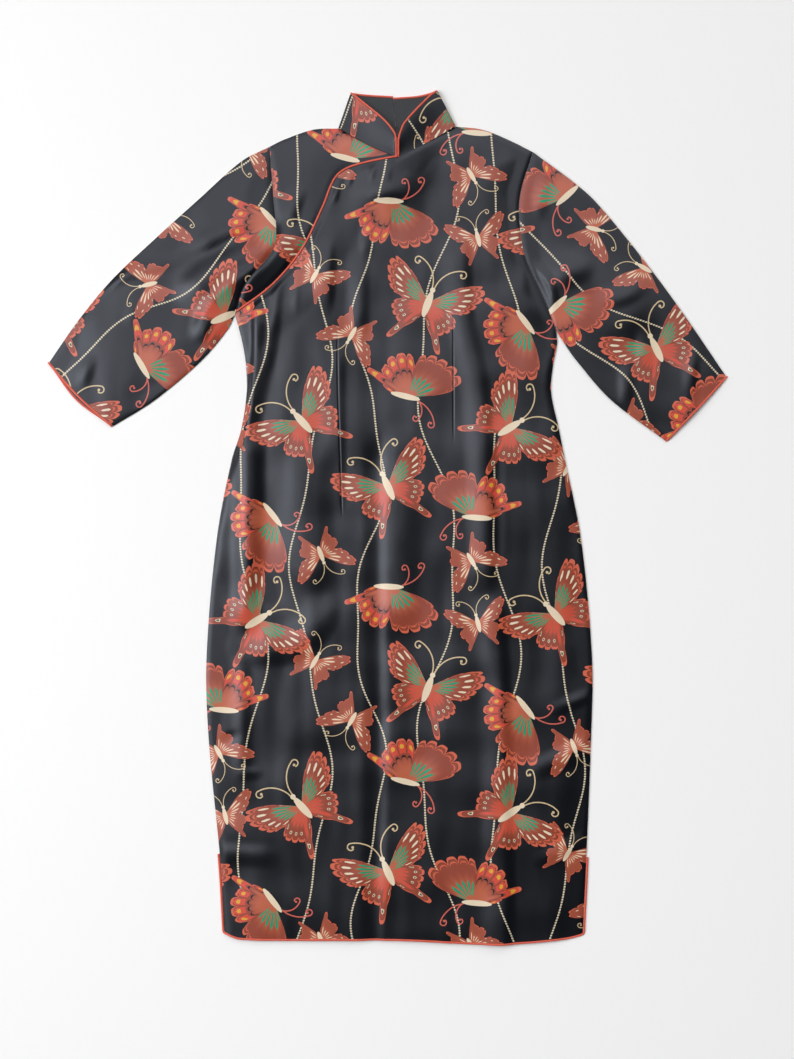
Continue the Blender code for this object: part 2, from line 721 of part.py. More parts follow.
def dress_lines():
    """Every shared seam and edge of the dress, each worked out once."""
    lines = {}
    tables = (
        ("left", 1, ARMHOLE_LEFT, NECK_LEFT, BACK_NECK_LEFT, SHOULDER_LEFT),
        ("right", -1, ARMHOLE_RIGHT, NECK_RIGHT, BACK_NECK_RIGHT, SHOULDER_RIGHT),
    )
    for name, sign, armhole, neck, back_neck, shoulder in tables:
        half = sign * SEAM_GAP / 2
        seam = list(reversed(line_of(armhole, ARMHOLE_ROWS)))
        lines["sleeve_" + name] = shifted(seam, half)
        lines["armhole_" + name] = shifted(seam, -half)
        lines["neck_" + name] = shifted(line_of(neck, NECK_COLUMNS), -half)
        lines["back_neck_" + name] = shifted(line_of(back_neck, BACK_NECK_COLUMNS), -half)
        lines["back_neck_" + name][-1].x -= half
        tip = lines["armhole_" + name][-1]
        lines["shoulder_" + name] = shoulder_line(shoulder, tip, lines["neck_" + name][0])
    opening = [place(spot.across, spot.up) for spot in OPENING]
    opening[0] = lines["neck_right"][-1]
    opening[-1] = lines["armhole_left"][0]
    turn = opening[OPENING_TURN]
    fine = curve_through(list(reversed(opening)), OPENING_FINENESS)
    lines["opening_side"], lines["opening_top"] = split_at(fine, turn, ARMHOLE_ROWS, OPENING_COLUMNS)
    lines["side_left"], lines["side_right"] = body_lines(lines["armhole_left"], lines["armhole_right"])
    return lines


def collar_lines(side_name):
    """The edges of one collar half, cut back at the centre for the piping and the split."""
    tables = {
        "left": (1, BACK_NECK_LEFT, COLLAR_BACK_TOP_LEFT, NECK_LEFT, COLLAR_FRONT_TOP_LEFT),
        "right": (-1, BACK_NECK_RIGHT, COLLAR_BACK_TOP_RIGHT, NECK_RIGHT, COLLAR_FRONT_TOP_RIGHT),
    }
    sign, back_neck, back_top, front_neck, front_top = tables[side_name]
    stand_off = sign * (PIPING_WIDTH + 1.5 * SEAM_GAP)
    neck = shifted(line_of(back_neck, BACK_NECK_COLUMNS), sign * SEAM_GAP / 2)
    neck[-1].x -= sign * SEAM_GAP
    neck.reverse()
    top = line_of(back_top, BACK_NECK_COLUMNS)
    top[0].x -= sign * SEAM_GAP
    front = shifted(line_of(front_neck, NECK_COLUMNS), sign * SEAM_GAP / 2)
    share = 1.0 - stand_off / (front[-1].x - front[-2].x)
    front[-1] = front[-2].lerp(front[-1], share)
    front[0] = neck[-1]
    corners = [place(spot.across, spot.up) for spot in front_top]
    corners[-1].x -= stand_off
    return neck, top, front, curve_through(corners, NECK_COLUMNS)


def main():
    clear_scene()
    satin = make_material(PRINTED_SATIN)
    lining = make_material(DARK_LINING)
    coral = make_material(CORAL_PIPING)
    lines = dress_lines()
    back_left = make_back_half("left", lines, satin)
    back_right = make_back_half("right", lines, satin)
    front, front_low = make_front(lines, satin)
    make_underlap(lines, satin)
    make_sleeve("left", lines, SLEEVE_TOP_LEFT, SLEEVE_UNDER_LEFT, CUFF_BOW_LEFT, satin, coral)
    make_sleeve("right", lines, SLEEVE_TOP_RIGHT, SLEEVE_UNDER_RIGHT, CUFF_BOW_RIGHT, satin, coral)
    make_collar_half("left", satin, lining, coral)
    make_collar_half("right", satin, lining, coral)
    make_opening_piping(front, front_low, coral)
    make_hem_piping("piping_hem_front", front, SLIT_ROWS, front_low, coral)
    back = [list(reversed(left)) + right for left, right in zip(back_left, back_right)]
    make_hem_piping("piping_hem_back", back, BACK_SLIT_ROWS, lambda point: 0.0, coral)


main()
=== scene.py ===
# %% [markdown]
# A cheongsam is cut from a few flat panels: a front that closes with a slanting edge to one
# side, a small underlap below that edge, a back in two halves, two set-in sleeves and a
# split stand collar.  Its open edges are finished with narrow coral piping.  Here it lies on
# its back on a pale floor, so each panel lies on the one below it.
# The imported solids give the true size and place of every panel.  This script dresses each
# of them with a thin shell of cloth that has finer folds, and with its own finish.

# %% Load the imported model
import math
from collections import namedtuple

import bpy
import numpy as np
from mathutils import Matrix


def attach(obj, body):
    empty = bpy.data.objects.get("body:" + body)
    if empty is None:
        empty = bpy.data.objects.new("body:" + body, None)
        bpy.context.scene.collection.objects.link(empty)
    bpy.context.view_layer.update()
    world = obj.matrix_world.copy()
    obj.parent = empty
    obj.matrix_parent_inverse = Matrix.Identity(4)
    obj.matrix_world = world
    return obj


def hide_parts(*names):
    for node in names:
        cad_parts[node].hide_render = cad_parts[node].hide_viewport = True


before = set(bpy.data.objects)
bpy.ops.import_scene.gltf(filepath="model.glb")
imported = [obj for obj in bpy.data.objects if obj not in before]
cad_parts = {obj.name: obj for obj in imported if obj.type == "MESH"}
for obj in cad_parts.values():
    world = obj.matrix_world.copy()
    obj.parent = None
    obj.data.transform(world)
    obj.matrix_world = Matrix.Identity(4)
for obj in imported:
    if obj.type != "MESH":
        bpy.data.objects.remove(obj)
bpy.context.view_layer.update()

bpy.ops.object.select_all(action="DESELECT")
print("nodes", sorted(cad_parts))

# %% [markdown]
# The camera hangs straight above the dress and looks down.  With a flat thing, hardly
# anything in the picture moves when the lens gets longer, as long as the camera backs away in
# step, so a 50 mm lens is taken and the height is worked out from how much floor has to show.

# %% Camera
LONG_SIDE_SHOWN = 1.4085
LENS = 50.0
SENSOR = 36.0
CAMERA_ACROSS = 0.0126
CAMERA_ALONG = -0.0160
CLOTH_LEVEL = 0.004

camera_data = bpy.data.cameras.new("camera")
camera_data.lens = LENS
camera_data.sensor_width = SENSOR
camera = bpy.data.objects.new("camera", camera_data)
camera.location = (CAMERA_ACROSS, CAMERA_ALONG, CLOTH_LEVEL + LONG_SIDE_SHOWN * LENS / SENSOR)
bpy.context.collection.objects.link(camera)
bpy.context.scene.camera = camera
print("camera height", round(camera.location.z, 3))

# %% [markdown]
# Dark satin shows its folds only if the light comes more from one side than from the other.
# A room with a large window does that.  Here the sky round the dress is one wide gradient,
# bright past the collar and a little to the left, and dark at the opposite side.  Low down
# it is dimmer again, or satin that is seen at a slant would turn white.
# A large lamp stands for the window itself, close enough that the near sleeve shines more
# than the far one.  The camera sees a plain pale backdrop instead of the gradient.

# %% Light
BRIGHT_SIDE = (-0.55, 0.83, 0.0)
DARK_FROM = -0.16
BRIGHT_FROM = 0.38
DARK_LEVEL = 0.04
BRIGHT_LEVEL = 2.5
DIM_FROM = 0.50
DIM_TO = 0.76
DIMMED = 0.16
LOW_FROM = 0.20
LOW_TO = 0.50
LOW_DIMMED = 0.20
UP = (0.0, 0.0, 1.0)
SKY_COLOR = (0.98, 0.985, 1.0, 1.0)
BACKDROP_LEVEL = 0.86
WINDOW_PLACE = (-1.75, 0.15, 1.95)
WINDOW_WIDTH = 1.3
WINDOW_POWER = 24.0
WINDOW_COLOR = (0.95, 0.97, 1.0)

world = bpy.data.worlds.new("room_light")
world.use_nodes = True
tree = world.node_tree
direction = tree.nodes.new("ShaderNodeTexCoord")


def sky_step(side, span, levels):
    """A smooth step of the sky, along one side, from one level to another."""
    facing = tree.nodes.new("ShaderNodeVectorMath")
    facing.operation = "DOT_PRODUCT"
    facing.inputs[1].default_value = side
    tree.links.new(direction.outputs["Generated"], facing.inputs[0])
    node = tree.nodes.new("ShaderNodeMapRange")
    node.interpolation_type = "SMOOTHSTEP"
    names = ("From Min", "From Max", "To Min", "To Max")
    for name, value in zip(names, (*span, *levels)):
        node.inputs[name].default_value = value
    tree.links.new(facing.outputs["Value"], node.inputs["Value"])
    return node.outputs["Result"]


def dimmed_by(level, step):
    """One level of the sky times another."""
    node = tree.nodes.new("ShaderNodeMath")
    node.operation = "MULTIPLY"
    tree.links.new(level, node.inputs[0])
    tree.links.new(step, node.inputs[1])
    return node.outputs[0]


gradient = sky_step(BRIGHT_SIDE, (DARK_FROM, BRIGHT_FROM), (DARK_LEVEL, BRIGHT_LEVEL))
gradient = dimmed_by(gradient, sky_step(BRIGHT_SIDE, (DIM_FROM, DIM_TO), (1.0, DIMMED)))
gradient = dimmed_by(gradient, sky_step(UP, (LOW_FROM, LOW_TO), (LOW_DIMMED, 1.0)))
seen = tree.nodes.new("ShaderNodeLightPath")
sky = tree.nodes.new("ShaderNodeMix")
sky.inputs["B"].default_value = BACKDROP_LEVEL
tree.links.new(seen.outputs["Is Camera Ray"], sky.inputs["Factor"])
tree.links.new(gradient, sky.inputs["A"])
tree.links.new(sky.outputs["Result"], tree.nodes["Background"].inputs["Strength"])
tree.nodes["Background"].inputs["Color"].default_value = SKY_COLOR
bpy.context.scene.world = world
bpy.context.scene.view_settings.view_transform = "Standard"

window_light = bpy.data.lights.new("window", "AREA")
window_light.shape = "SQUARE"
window_light.size = WINDOW_WIDTH
window_light.energy = WINDOW_POWER
window_light.color = WINDOW_COLOR
window = bpy.data.objects.new("window", window_light)
window.location = WINDOW_PLACE
window.rotation_mode = "QUATERNION"
window.rotation_quaternion = window.location.to_track_quat("Z", "Y")
bpy.context.collection.objects.link(window)
print("light from", BRIGHT_SIDE)

# %% [markdown]
# All the panels share their seam lines, so every line is worked out once from a few named
# spots.  Places are given across from the dress's midline and up from its lowest hem, which
# is how a cutter would mark them.  A short table with named columns keeps them readable.

# %% Sizes of the dress
LENGTH = 1.1368
MIDLINE_X = 0.0134
CLOTH = 0.0012
LINING = 0.0010
SEAM_GAP = 0.0003
FRONT_LOW = CLOTH + SEAM_GAP
SHELL = 0.0007
FRONT_PUFF = 0.0030
FRONT_PUFF_REACH = 0.050
SLEEVE_PUFF = 0.0020
SLEEVE_PUFF_REACH = 0.045
SLEEVE_MOST = 0.0120
SLEEVE_CALM = 0.7
UNDERLAP_CALM = 0.5
CUFF_BOW = {"left": 0.0035, "right": -0.0005}
UNDERLAP_WIDTH = 0.022
UNDERLAP_SPARE = 0.006
UNDERLAP_STEP = CLOTH + 0.0006
UNDERLAP_FADE = 0.032
UNDERLAP_TAPER = 4.0
COLLAR_DEPTH = CLOTH + SEAM_GAP + LINING
COLLAR_LOW = 2 * COLLAR_DEPTH + SEAM_GAP
COLLAR_RISE = 0.0034
COLLAR_FOLD = 0.0035
NECK_LIFT = COLLAR_LOW - CLOTH - FRONT_LOW
NECK_LIFT_REACH = 0.075
SHOULDER_HOLD = 0.030
PIPING_WIDTH = 0.0028

Spot = namedtuple("Spot", "name across up")
Section = namedtuple("Section", "name up left right")

BODY_SECTIONS = (
    Section("hem corner", 0.017, 0.2305, 0.2465),
    Section("slit top", 0.110, 0.2360, 0.2510),
    Section("knee", 0.273, 0.2515, 0.2575),
    Section("hip", 0.379, 0.2545, 0.2590),
    Section("high hip", 0.539, 0.2410, 0.2443),
    Section("belly", 0.645, 0.2210, 0.2230),
    Section("below the waist", 0.685, 0.2085, 0.2150),
    Section("waist", 0.735, 0.2010, 0.2045),
    Section("ribs", 0.771, 0.2020, 0.2070),
    Section("bust", 0.801, 0.2065, 0.2125),
)
HEM = (
    Spot("left corner", -0.2305, 0.0170),
    Spot("left quarter", -0.2080, 0.0098),
    Spot("middle", 0.0036, 0.0085),
    Spot("lowest", 0.1326, 0.0032),
    Spot("right quarter", 0.2240, 0.0098),
    Spot("right corner", 0.2465, 0.0150),
)
ARMHOLE = {
    "left": (
        Spot("shoulder tip", -0.1706, 1.0620),
        Spot("upper", -0.1653, 0.9910),
        Spot("deepest", -0.1613, 0.9440),
        Spot("turn", -0.1665, 0.9215),
        Spot("lower", -0.2035, 0.8765),
        Spot("underarm", -0.2165, 0.8390),
    ),
    "right": (
        Spot("shoulder tip", 0.1805, 1.0547),
        Spot("upper", 0.1645, 1.0040),
        Spot("deepest", 0.1619, 0.9710),
        Spot("turn", 0.1698, 0.9160),
        Spot("lower", 0.1978, 0.8525),
        Spot("underarm", 0.2110, 0.8180),
    ),
}
SHOULDER = {
    "left": (Spot("flat part", -0.1121, 1.0848), Spot("slope", -0.1533, 1.0707)),
    "right": (Spot("flat part", 0.1126, 1.0848), Spot("slope", 0.1486, 1.0707)),
}
NECK = {
    "left": (
        Spot("neck", -0.0789, 1.0865),
        Spot("side", -0.0403, 1.0640),
        Spot("centre front", -0.0005, 1.0454),
    ),
    "right": (
        Spot("neck", 0.0775, 1.0890),
        Spot("side", 0.0438, 1.0690),
        Spot("centre front", -0.0005, 1.0454),
    ),
}
BACK_NECK = {
    "left": (
        Spot("neck", -0.0789, 1.0865),
        Spot("side", -0.0430, 1.0785),
        Spot("centre back", -0.0005, 1.0755),
    ),
    "right": (
        Spot("neck", 0.0775, 1.0890),
        Spot("side", 0.0430, 1.0800),
        Spot("centre back", -0.0005, 1.0755),
    ),
}
OPENING = (
    Spot("centre front", -0.0005, 1.0452),
    Spot("below the collar", -0.0450, 1.0378),
    Spot("before the turn", -0.0700, 1.0295),
    Spot("turn", -0.0835, 1.0165),
    Spot("chest", -0.0985, 0.9800),
    Spot("slant", -0.1270, 0.9230),
    Spot("side", -0.1660, 0.8765),
    Spot("underarm", -0.2165, 0.8390),
)
OPENING_TURN = 3
SLEEVE_TOP = {
    "left": (
        Spot("shoulder tip", -0.1706, 1.0620),
        Spot("cap", -0.2079, 1.0427),
        Spot("upper arm", -0.2660, 0.9910),
        Spot("middle", -0.3249, 0.9377),
        Spot("above the elbow", -0.3808, 0.8845),
        Spot("elbow", -0.4247, 0.8313),
        Spot("cuff", -0.4635, 0.7755),
    ),
    "right": (
        Spot("shoulder tip", 0.1805, 1.0547),
        Spot("cap", 0.2310, 1.0175),
        Spot("upper arm", 0.2616, 0.9909),
        Spot("middle", 0.3068, 0.9377),
        Spot("above the elbow", 0.3480, 0.8845),
        Spot("elbow", 0.3866, 0.8310),
        Spot("cuff", 0.4368, 0.7570),
    ),
}
SLEEVE_UNDER = {
    "left": (
        Spot("underarm", -0.2165, 0.8390),
        Spot("hollow", -0.2265, 0.8190),
        Spot("upper arm", -0.2610, 0.7780),
        Spot("middle", -0.3236, 0.7249),
        Spot("cuff", -0.3785, 0.6905),
    ),
    "right": (
        Spot("underarm", 0.2110, 0.8180),
        Spot("hollow", 0.2190, 0.8047),
        Spot("upper arm", 0.2377, 0.7780),
        Spot("middle", 0.2842, 0.7250),
        Spot("cuff", 0.3560, 0.6710),
    ),
}
COLLAR_BACK_TOP = {
    "left": (
        Spot("centre back", -0.0060, 1.1265),
        Spot("side", -0.0400, 1.1285),
        Spot("corner", -0.0632, 1.1310),
    ),
    "right": (
        Spot("centre back", -0.0060, 1.1245),
        Spot("side", 0.0300, 1.1275),
        Spot("corner", 0.0540, 1.1342),
    ),
}
COLLAR_FRONT_TOP = {
    "left": (
        Spot("corner", -0.0632, 1.1310),
        Spot("upper slant", -0.0437, 1.1152),
        Spot("lower slant", -0.0192, 1.0940),
        Spot("turn", -0.0064, 1.0780),
        Spot("centre front", -0.0005, 1.0690),
    ),
    "right": (
        Spot("corner", 0.0540, 1.1342),
        Spot("upper slant", 0.0437, 1.1265),
        Spot("lower slant", 0.0112, 1.0910),
        Spot("turn", 0.0052, 1.0780),
        Spot("centre front", -0.0005, 1.0690),
    ),
}
widest = max(BODY_SECTIONS, key=lambda section: section.left + section.right)
print("length", LENGTH, "widest at the", widest.name, round(widest.left + widest.right, 3))

# %% [markdown]
# Laid flat, cloth never lies quite flat.  Each fold is a soft ridge or trough along a line
# of spots, with a width on either side and a height, so that no two are alike: a steep side
# and a gentle side are what make a fold look like cloth.  Spots are in millimetres, across
# from the midline and up from the hem, and go from the hem up or from left to right.

# %% Folds
MM = 0.001
Fold = namedtuple("Fold", "name spots left right height")
FRONT_FOLDS = (
    Fold("crown", ((112, -60), (112, 200), (104, 460), (96, 700), (80, 880)), 130, 140, 2.2),
    Fold("long ridge", ((139, -53), (141, 86), (139, 219), (137, 326), (131, 419), (125, 472)), 34, 17, 4.6),
    Fold("upper right ridge", ((119, 459), (117, 539), (115, 618), (113, 685), (105, 765), (91, 818),
                               (86, 871), (85, 924), (87, 958)), 30, 17, 3.6),
    Fold("beside the right ridge", ((134, 499), (133, 592), (134, 685)), 10, 12, -1.2),
    Fold("middle valley", ((-30, -53), (-30, 60), (-26, 166), (-26, 273), (-27, 379), (-27, 512),
                           (-28, 618), (-26, 685)), 22, 15, -2.8),
    Fold("middle ridge", ((2, 406), (1, 512), (0, 632), (-2, 698)), 24, 34, 2.2),
    Fold("low middle ridge", ((-4, 193), (-6, 326), (-7, 406)), 18, 26, 1.8),
    Fold("left hip ridge", ((-205, 406), (-201, 472), (-200, 565), (-199, 645), (-196, 698)), 24, 26, 6.0),
    Fold("left hip valley", ((-188, 432), (-180, 512), (-175, 592), (-177, 672)), 16, 40, -2.6),
    Fold("left hip rise", ((-105, 459), (-108, 539), (-109, 618), (-100, 685)), 46, 28, 3.4),
    Fold("lip of the hip dent", ((-215, 392), (-180, 392), (-143, 395), (-116, 411), (-100, 439),
                                 (-95, 472)), 40, 26, 3.4),
    Fold("left side ridge", ((-209, 206), (-207, 273), (-207, 339), (-209, 392)), 16, 15, 2.2),
    Fold("rib ridge", ((-208, 660), (-199, 712), (-191, 751), (-188, 805), (-188, 858), (-183, 882)),
         8, 24, 5.6),
    Fold("second rib ridge", ((-177, 745), (-172, 778), (-165, 831), (-160, 871), (-155, 900)), 10, 12, 2.6),
    Fold("third rib ridge", ((-135, 831), (-135, 865), (-132, 908)), 8, 8, 1.2),
    Fold("left chest ridge", ((-95, 831), (-92, 871), (-92, 918), (-95, 944)), 30, 11, 3.4),
    Fold("inner chest ridge", ((-51, 798), (-50, 858), (-50, 904), (-54, 931)), 22, 15, 2.8),
    Fold("left dart ridge", ((-80, 565), (-79, 645), (-78, 725), (-79, 805)), 34, 11, 2.0),
    Fold("right underarm slope", ((196, 811), (179, 842), (166, 862), (162, 888), (165, 914)), 32, 17, 3.8),
    Fold("edge of the underlap", ((-47, 996), (-16, 998), (20, 995)), 20, 11, 1.6),
    Fold("below the neck", ((-43, 908), (-42, 938), (-39, 962)), 12, 14, 1.6),
    Fold("gather one", ((-67, 1004), (-58, 1036)), 7, 7, 1.3),
    Fold("gather two", ((-84, 984), (-79, 1014)), 7, 6, 1.3),
    Fold("gather three", ((-36, 1010), (-31, 1040)), 7, 7, 1.0),
    Fold("gather four", ((-14, 1010), (-12, 1038)), 7, 8, 0.8),
    Fold("upper right wrinkle", ((196, 308), (232, 322), (272, 338)), 14, 10, 2.0),
    Fold("right wrinkle", ((163, 228), (216, 248), (272, 277)), 18, 20, 2.6),
    Fold("low right wrinkle", ((172, 108), (216, 124), (268, 147)), 18, 12, 2.4),
    Fold("left wrinkle", ((-258, 256), (-203, 286)), 10, 13, -1.8),
    Fold("left dent", ((-218, 230), (-176, 230)), 8, 13, 1.6),
    Fold("low left wrinkle", ((-258, 124), (-204, 122), (-149, 118)), 16, 20, 2.0),
    Fold("hem ripple left", ((-150, -40), (-146, 70)), 15, 13, 0.9),
    Fold("hem ripple right", ((62, -40), (66, 90)), 18, 15, 0.9),
)
UNDERLAP_FOLDS = (
    Fold("shoulder drag", ((-147, 944), (-137, 984), (-125, 1013)), 20, 13, 2.4),
)
CROSSING_FOLDS = (
    Fold("left underarm fall", ((-272, 796), (-254, 838), (-228, 868), (-198, 889), (-160, 900)),
         18, 42, 5.0),
    Fold("left underarm ridge", ((-292, 846), (-262, 880), (-229, 900), (-189, 917), (-152, 931),
                                 (-118, 936)), 34, 50, 7.6),
)
SLEEVE_FOLDS = (
    Fold("left cap ridge", ((-289, 924), (-256, 932), (-222, 948), (-180, 959)), 26, 13, 3.0),
    Fold("left bend ridge", ((-402, 868), (-369, 887), (-309, 906), (-282, 908)), 20, 11, 2.0),
    Fold("left outer ridge", ((-449, 798), (-429, 825), (-402, 862)), 12, 11, 1.8),
    Fold("left cuff ridge", ((-422, 735), (-406, 789)), 14, 13, 2.2),
    Fold("left under ridge", ((-258, 798), (-254, 836)), 20, 9, 2.2),
    Fold("left middle ridge", ((-358, 818), (-349, 858)), 12, 12, 1.0),
    Fold("right broad ridge", ((186, 912), (243, 884), (290, 850), (326, 798)), 46, 70, 4.2),
    Fold("right bend ridge", ((198, 890), (223, 890), (243, 900), (258, 918)), 30, 22, 2.8),
    Fold("right elbow ridge", ((257, 858), (286, 857), (312, 866), (333, 886)), 24, 14, 2.4),
    Fold("right cap dent", ((187, 957), (188, 984), (191, 1015), (196, 1034)), 14, 17, 2.8),
    Fold("right underarm roll", ((200, 838), (207, 861), (200, 882), (186, 900), (171, 917)), 8, 10, 2.8),
    Fold("right underarm pinch", ((213, 816), (202, 834), (190, 860)), 6, 6, 1.5),
    Fold("right cap edge", ((163, 1048), (183, 1049), (210, 1039), (238, 1019)), 10, 8, 1.5),
    Fold("right cap crease", ((214, 996), (236, 1001), (261, 997)), 10, 8, 1.4),
    Fold("right cuff ridge", ((388, 718), (392, 778), (404, 800)), 14, 13, 2.4),
    Fold("right lower ridge", ((327, 760), (325, 827)), 12, 18, 2.0),
    Fold("right inner ridge", ((305, 708), (302, 777)), 14, 13, 2.2),
)
THROAT = (
    Fold("throat", ((0, 960), (-1, 1040), (-2, 1220)), 62, 62, 5.0),
)
print("folds", len(FRONT_FOLDS) + len(UNDERLAP_FOLDS) + len(CROSSING_FOLDS) + len(SLEEVE_FOLDS))

# %% [markdown]
# A seam is a smooth curve through its spots.  Each stretch is a cubic that leaves one spot
# and arrives at the next along the line between their neighbours, which is what a flexible
# ruler pinned at those spots would do.  The curve is then divided into equal steps.

# %% Lines
CURVE_STEPS = 24


def place(across, up):
    """A point of the dress in the frame's own plan."""
    return np.array((MIDLINE_X + across, up - LENGTH / 2))


def places(spots):
    """The plan points of a table of spots."""
    return [place(spot.across, spot.up) for spot in spots]


def ease(amount):
    """A smooth step from 0 to 1."""
    t = np.clip(amount, 0.0, 1.0)
    return t * t * (3.0 - 2.0 * t)


def evenly(points, steps):
    """The same line, divided into equal steps along its length."""
    points = np.asarray(points, float)
    stretches = np.linalg.norm(np.diff(points, axis=0), axis=1)
    reached = np.concatenate(([0.0], np.cumsum(stretches)))
    marks = np.linspace(0.0, reached[-1], steps + 1)
    return np.column_stack([np.interp(marks, reached, column) for column in points.T])


def curve_through(corners, steps):
    """A smooth curve through all the corners, in equal steps."""
    corners = np.asarray(corners, float)
    if len(corners) == 2:
        return evenly(corners, steps)
    first = 2 * corners[0] - corners[1]
    last = 2 * corners[-1] - corners[-2]
    guides = np.vstack((first, corners, last))
    t = (np.arange(CURVE_STEPS) / CURVE_STEPS)[:, None]
    fine = []
    for before, start, end, after in zip(guides, guides[1:], guides[2:], guides[3:]):
        stretch = np.linalg.norm(end - start)
        leave = (end - before) * stretch / (stretch + np.linalg.norm(start - before))
        arrive = (after - start) * stretch / (stretch + np.linalg.norm(after - end))
        fine.append(
            start * (2 * t**3 - 3 * t**2 + 1)
            + leave * (t**3 - 2 * t**2 + t)
            + end * (3 * t**2 - 2 * t**3)
            + arrive * (t**3 - t**2)
        )
    return evenly(np.vstack((*fine, corners[-1:])), steps)


def line_of(spots, steps):
    """A smooth line through a table of spots."""
    return curve_through(places(spots), steps)


def unit_length(ways):
    """The same directions at unit length."""
    return ways / np.linalg.norm(ways, axis=1)[:, None]


def directions(line, closed=False):
    """The unit direction of a line at each of its points."""
    before, after = (line[-2:-1], line[1:2]) if closed else (line[:1], line[-1:])
    around = np.vstack((before, line, after))
    return unit_length(around[2:] - around[:-2])


def shifted(line, distance):
    """A line moved sideways by a distance, to the left of its own direction."""
    way = directions(line)
    return line + np.column_stack((-way[:, 1], way[:, 0])) * distance


waist = next(section for section in BODY_SECTIONS if section.name == "waist")
print("the middle of the waist lies at", place(0.0, waist.up).round(4))

# %% [markdown]
# A panel is a grid of points between four such lines.  Each inner point blends the two pairs
# of lines that face each other, less what the corners would count twice.  How far a point
# lies from a seam decides how freely the cloth can rise there.

# %% Patches and distances
def patch(bottom, top, start, end):
    """A grid of rows between four lines that meet at their corners."""
    u = np.linspace(0, 1, len(bottom))[None, :, None]
    v = np.linspace(0, 1, len(start))[:, None, None]
    between_ends = start[:, None] * (1 - u) + end[:, None] * u
    between_lines = bottom[None] * (1 - v) + top[None] * v
    low_corners = bottom[0] * (1 - u) + bottom[-1] * u
    high_corners = top[0] * (1 - u) + top[-1] * u
    return between_ends + between_lines - low_corners * (1 - v) - high_corners * v


def distance_to(points, lines):
    """The distance from each point to the nearest of some lines."""
    best = np.full(points.shape[:-1], LENGTH)
    for line in lines:
        for start, end in zip(line, line[1:]):
            way = end - start
            share = np.clip((points - start) @ way / (way @ way), 0.0, 1.0)
            off = points - start - share[..., None] * way
            best = np.minimum(best, np.hypot(off[..., 0], off[..., 1]))
    return best


print("patches and distances ready")

# %% [markdown]
# Across a fold, its height falls off as half a wave on either side, over that side's own
# width.  Along it, the height fades in and out at both ends, so no fold stops short.

# %% Heights of the folds
FOLD_STEPS = 12
FOLD_TAPER = 0.045
FOLD_TAPER_SHARE = 0.45


def fold_height(points, folds):
    """How far all the folds together lift or lower the cloth at each point."""
    total = np.zeros(points.shape[:-1])
    sums = total.reshape(-1)
    flat = points.reshape(-1, 2)
    for fold in folds:
        route = curve_through([place(across * MM, up * MM) for across, up in fold.spots], FOLD_STEPS)
        reach = max(fold.left, fold.right) * MM
        near = np.all((flat > route.min(axis=0) - reach) & (flat < route.max(axis=0) + reach), axis=1)
        here = flat[near]
        best = np.full(len(here), reach)
        aside = np.zeros(len(here))
        along = np.zeros(len(here))
        run = 0.0
        for start, end in zip(route, route[1:]):
            length = np.hypot(*(end - start))
            way = (end - start) / length
            off = here - start
            share = np.clip(off @ way, 0.0, length)
            away = np.hypot(*(off - share[:, None] * way).T)
            closer = away < best
            best[closer] = away[closer]
            along[closer] = run + share[closer]
            aside[closer] = (off @ np.array((-way[1], way[0])))[closer]
            run += length
        width = np.where(aside > 0, fold.left, fold.right) * MM
        profile = 0.5 + 0.5 * np.cos(math.pi * np.clip(best / width, 0.0, 1.0))
        taper = min(FOLD_TAPER, FOLD_TAPER_SHARE * run)
        sums[near] += fold.height * MM * profile * ease(along / taper) * ease((run - along) / taper)
    return total


print("fold heights ready")

# %% [markdown]
# Two panels that are sewn together share one seam line, and each keeps half a gap away from
# it.  The counts say how many fine steps the shells take along each seam.  A rough copy of
# every seam, with few steps, makes the distances quick to work out.

# %% Seams
OPENING_FINENESS = 240
COLUMNS = {"opening": 42, "neck": 54, "shoulder": 44}
FRONT_COLUMNS = sum(COLUMNS.values())
SIDE_ROWS = 210
ARMHOLE_ROWS = 60
SLEEVE_ROWS = 84
COLLAR_ROWS = 16
BACK_NECK_COLUMNS = 24
COLLAR_FOLD_STEPS = 10
SEAM_STEPS = 40

lines = {}
for side_name, sign in (("left", 1), ("right", -1)):
    half = sign * SEAM_GAP / 2
    seam = line_of(ARMHOLE[side_name], ARMHOLE_ROWS)[::-1]
    lines["sleeve_" + side_name] = shifted(seam, half)
    lines["armhole_" + side_name] = shifted(seam, -half)
    lines["neck_" + side_name] = shifted(line_of(NECK[side_name], COLUMNS["neck"]), -half)
    back_neck = shifted(line_of(BACK_NECK[side_name], BACK_NECK_COLUMNS), -half)
    back_neck[-1, 0] -= half
    lines["back_neck_" + side_name] = back_neck
    tip = lines["armhole_" + side_name][-1]
    corners = [tip, *places(reversed(SHOULDER[side_name])), lines["neck_" + side_name][0]]
    lines["shoulder_" + side_name] = curve_through(corners, COLUMNS["shoulder"])

opening = places(OPENING)
opening[0] = lines["neck_right"][-1]
opening[-1] = lines["armhole_left"][0]
fine_opening = curve_through(opening[::-1], OPENING_FINENESS)
cut = int(np.argmin(np.linalg.norm(fine_opening - opening[OPENING_TURN], axis=1)))
lines["opening_side"] = evenly(fine_opening[:cut + 1], ARMHOLE_ROWS)
lines["opening_top"] = evenly(fine_opening[cut:], COLUMNS["opening"])
for side_name, sign in (("left", -1), ("right", 1)):
    corners = [place(sign * getattr(section, side_name), section.up) for section in BODY_SECTIONS]
    hem_end = HEM[0] if sign < 0 else HEM[-1]
    corners[0] = place(hem_end.across, hem_end.up)
    corners.append(lines["armhole_" + side_name][0])
    lines["side_" + side_name] = curve_through(corners, SIDE_ROWS)
rough = {name: evenly(line, SEAM_STEPS) for name, line in lines.items()}
print("seams", len(lines), "opening", round(float(np.hypot(*(opening[0] - opening[-1]))), 3))

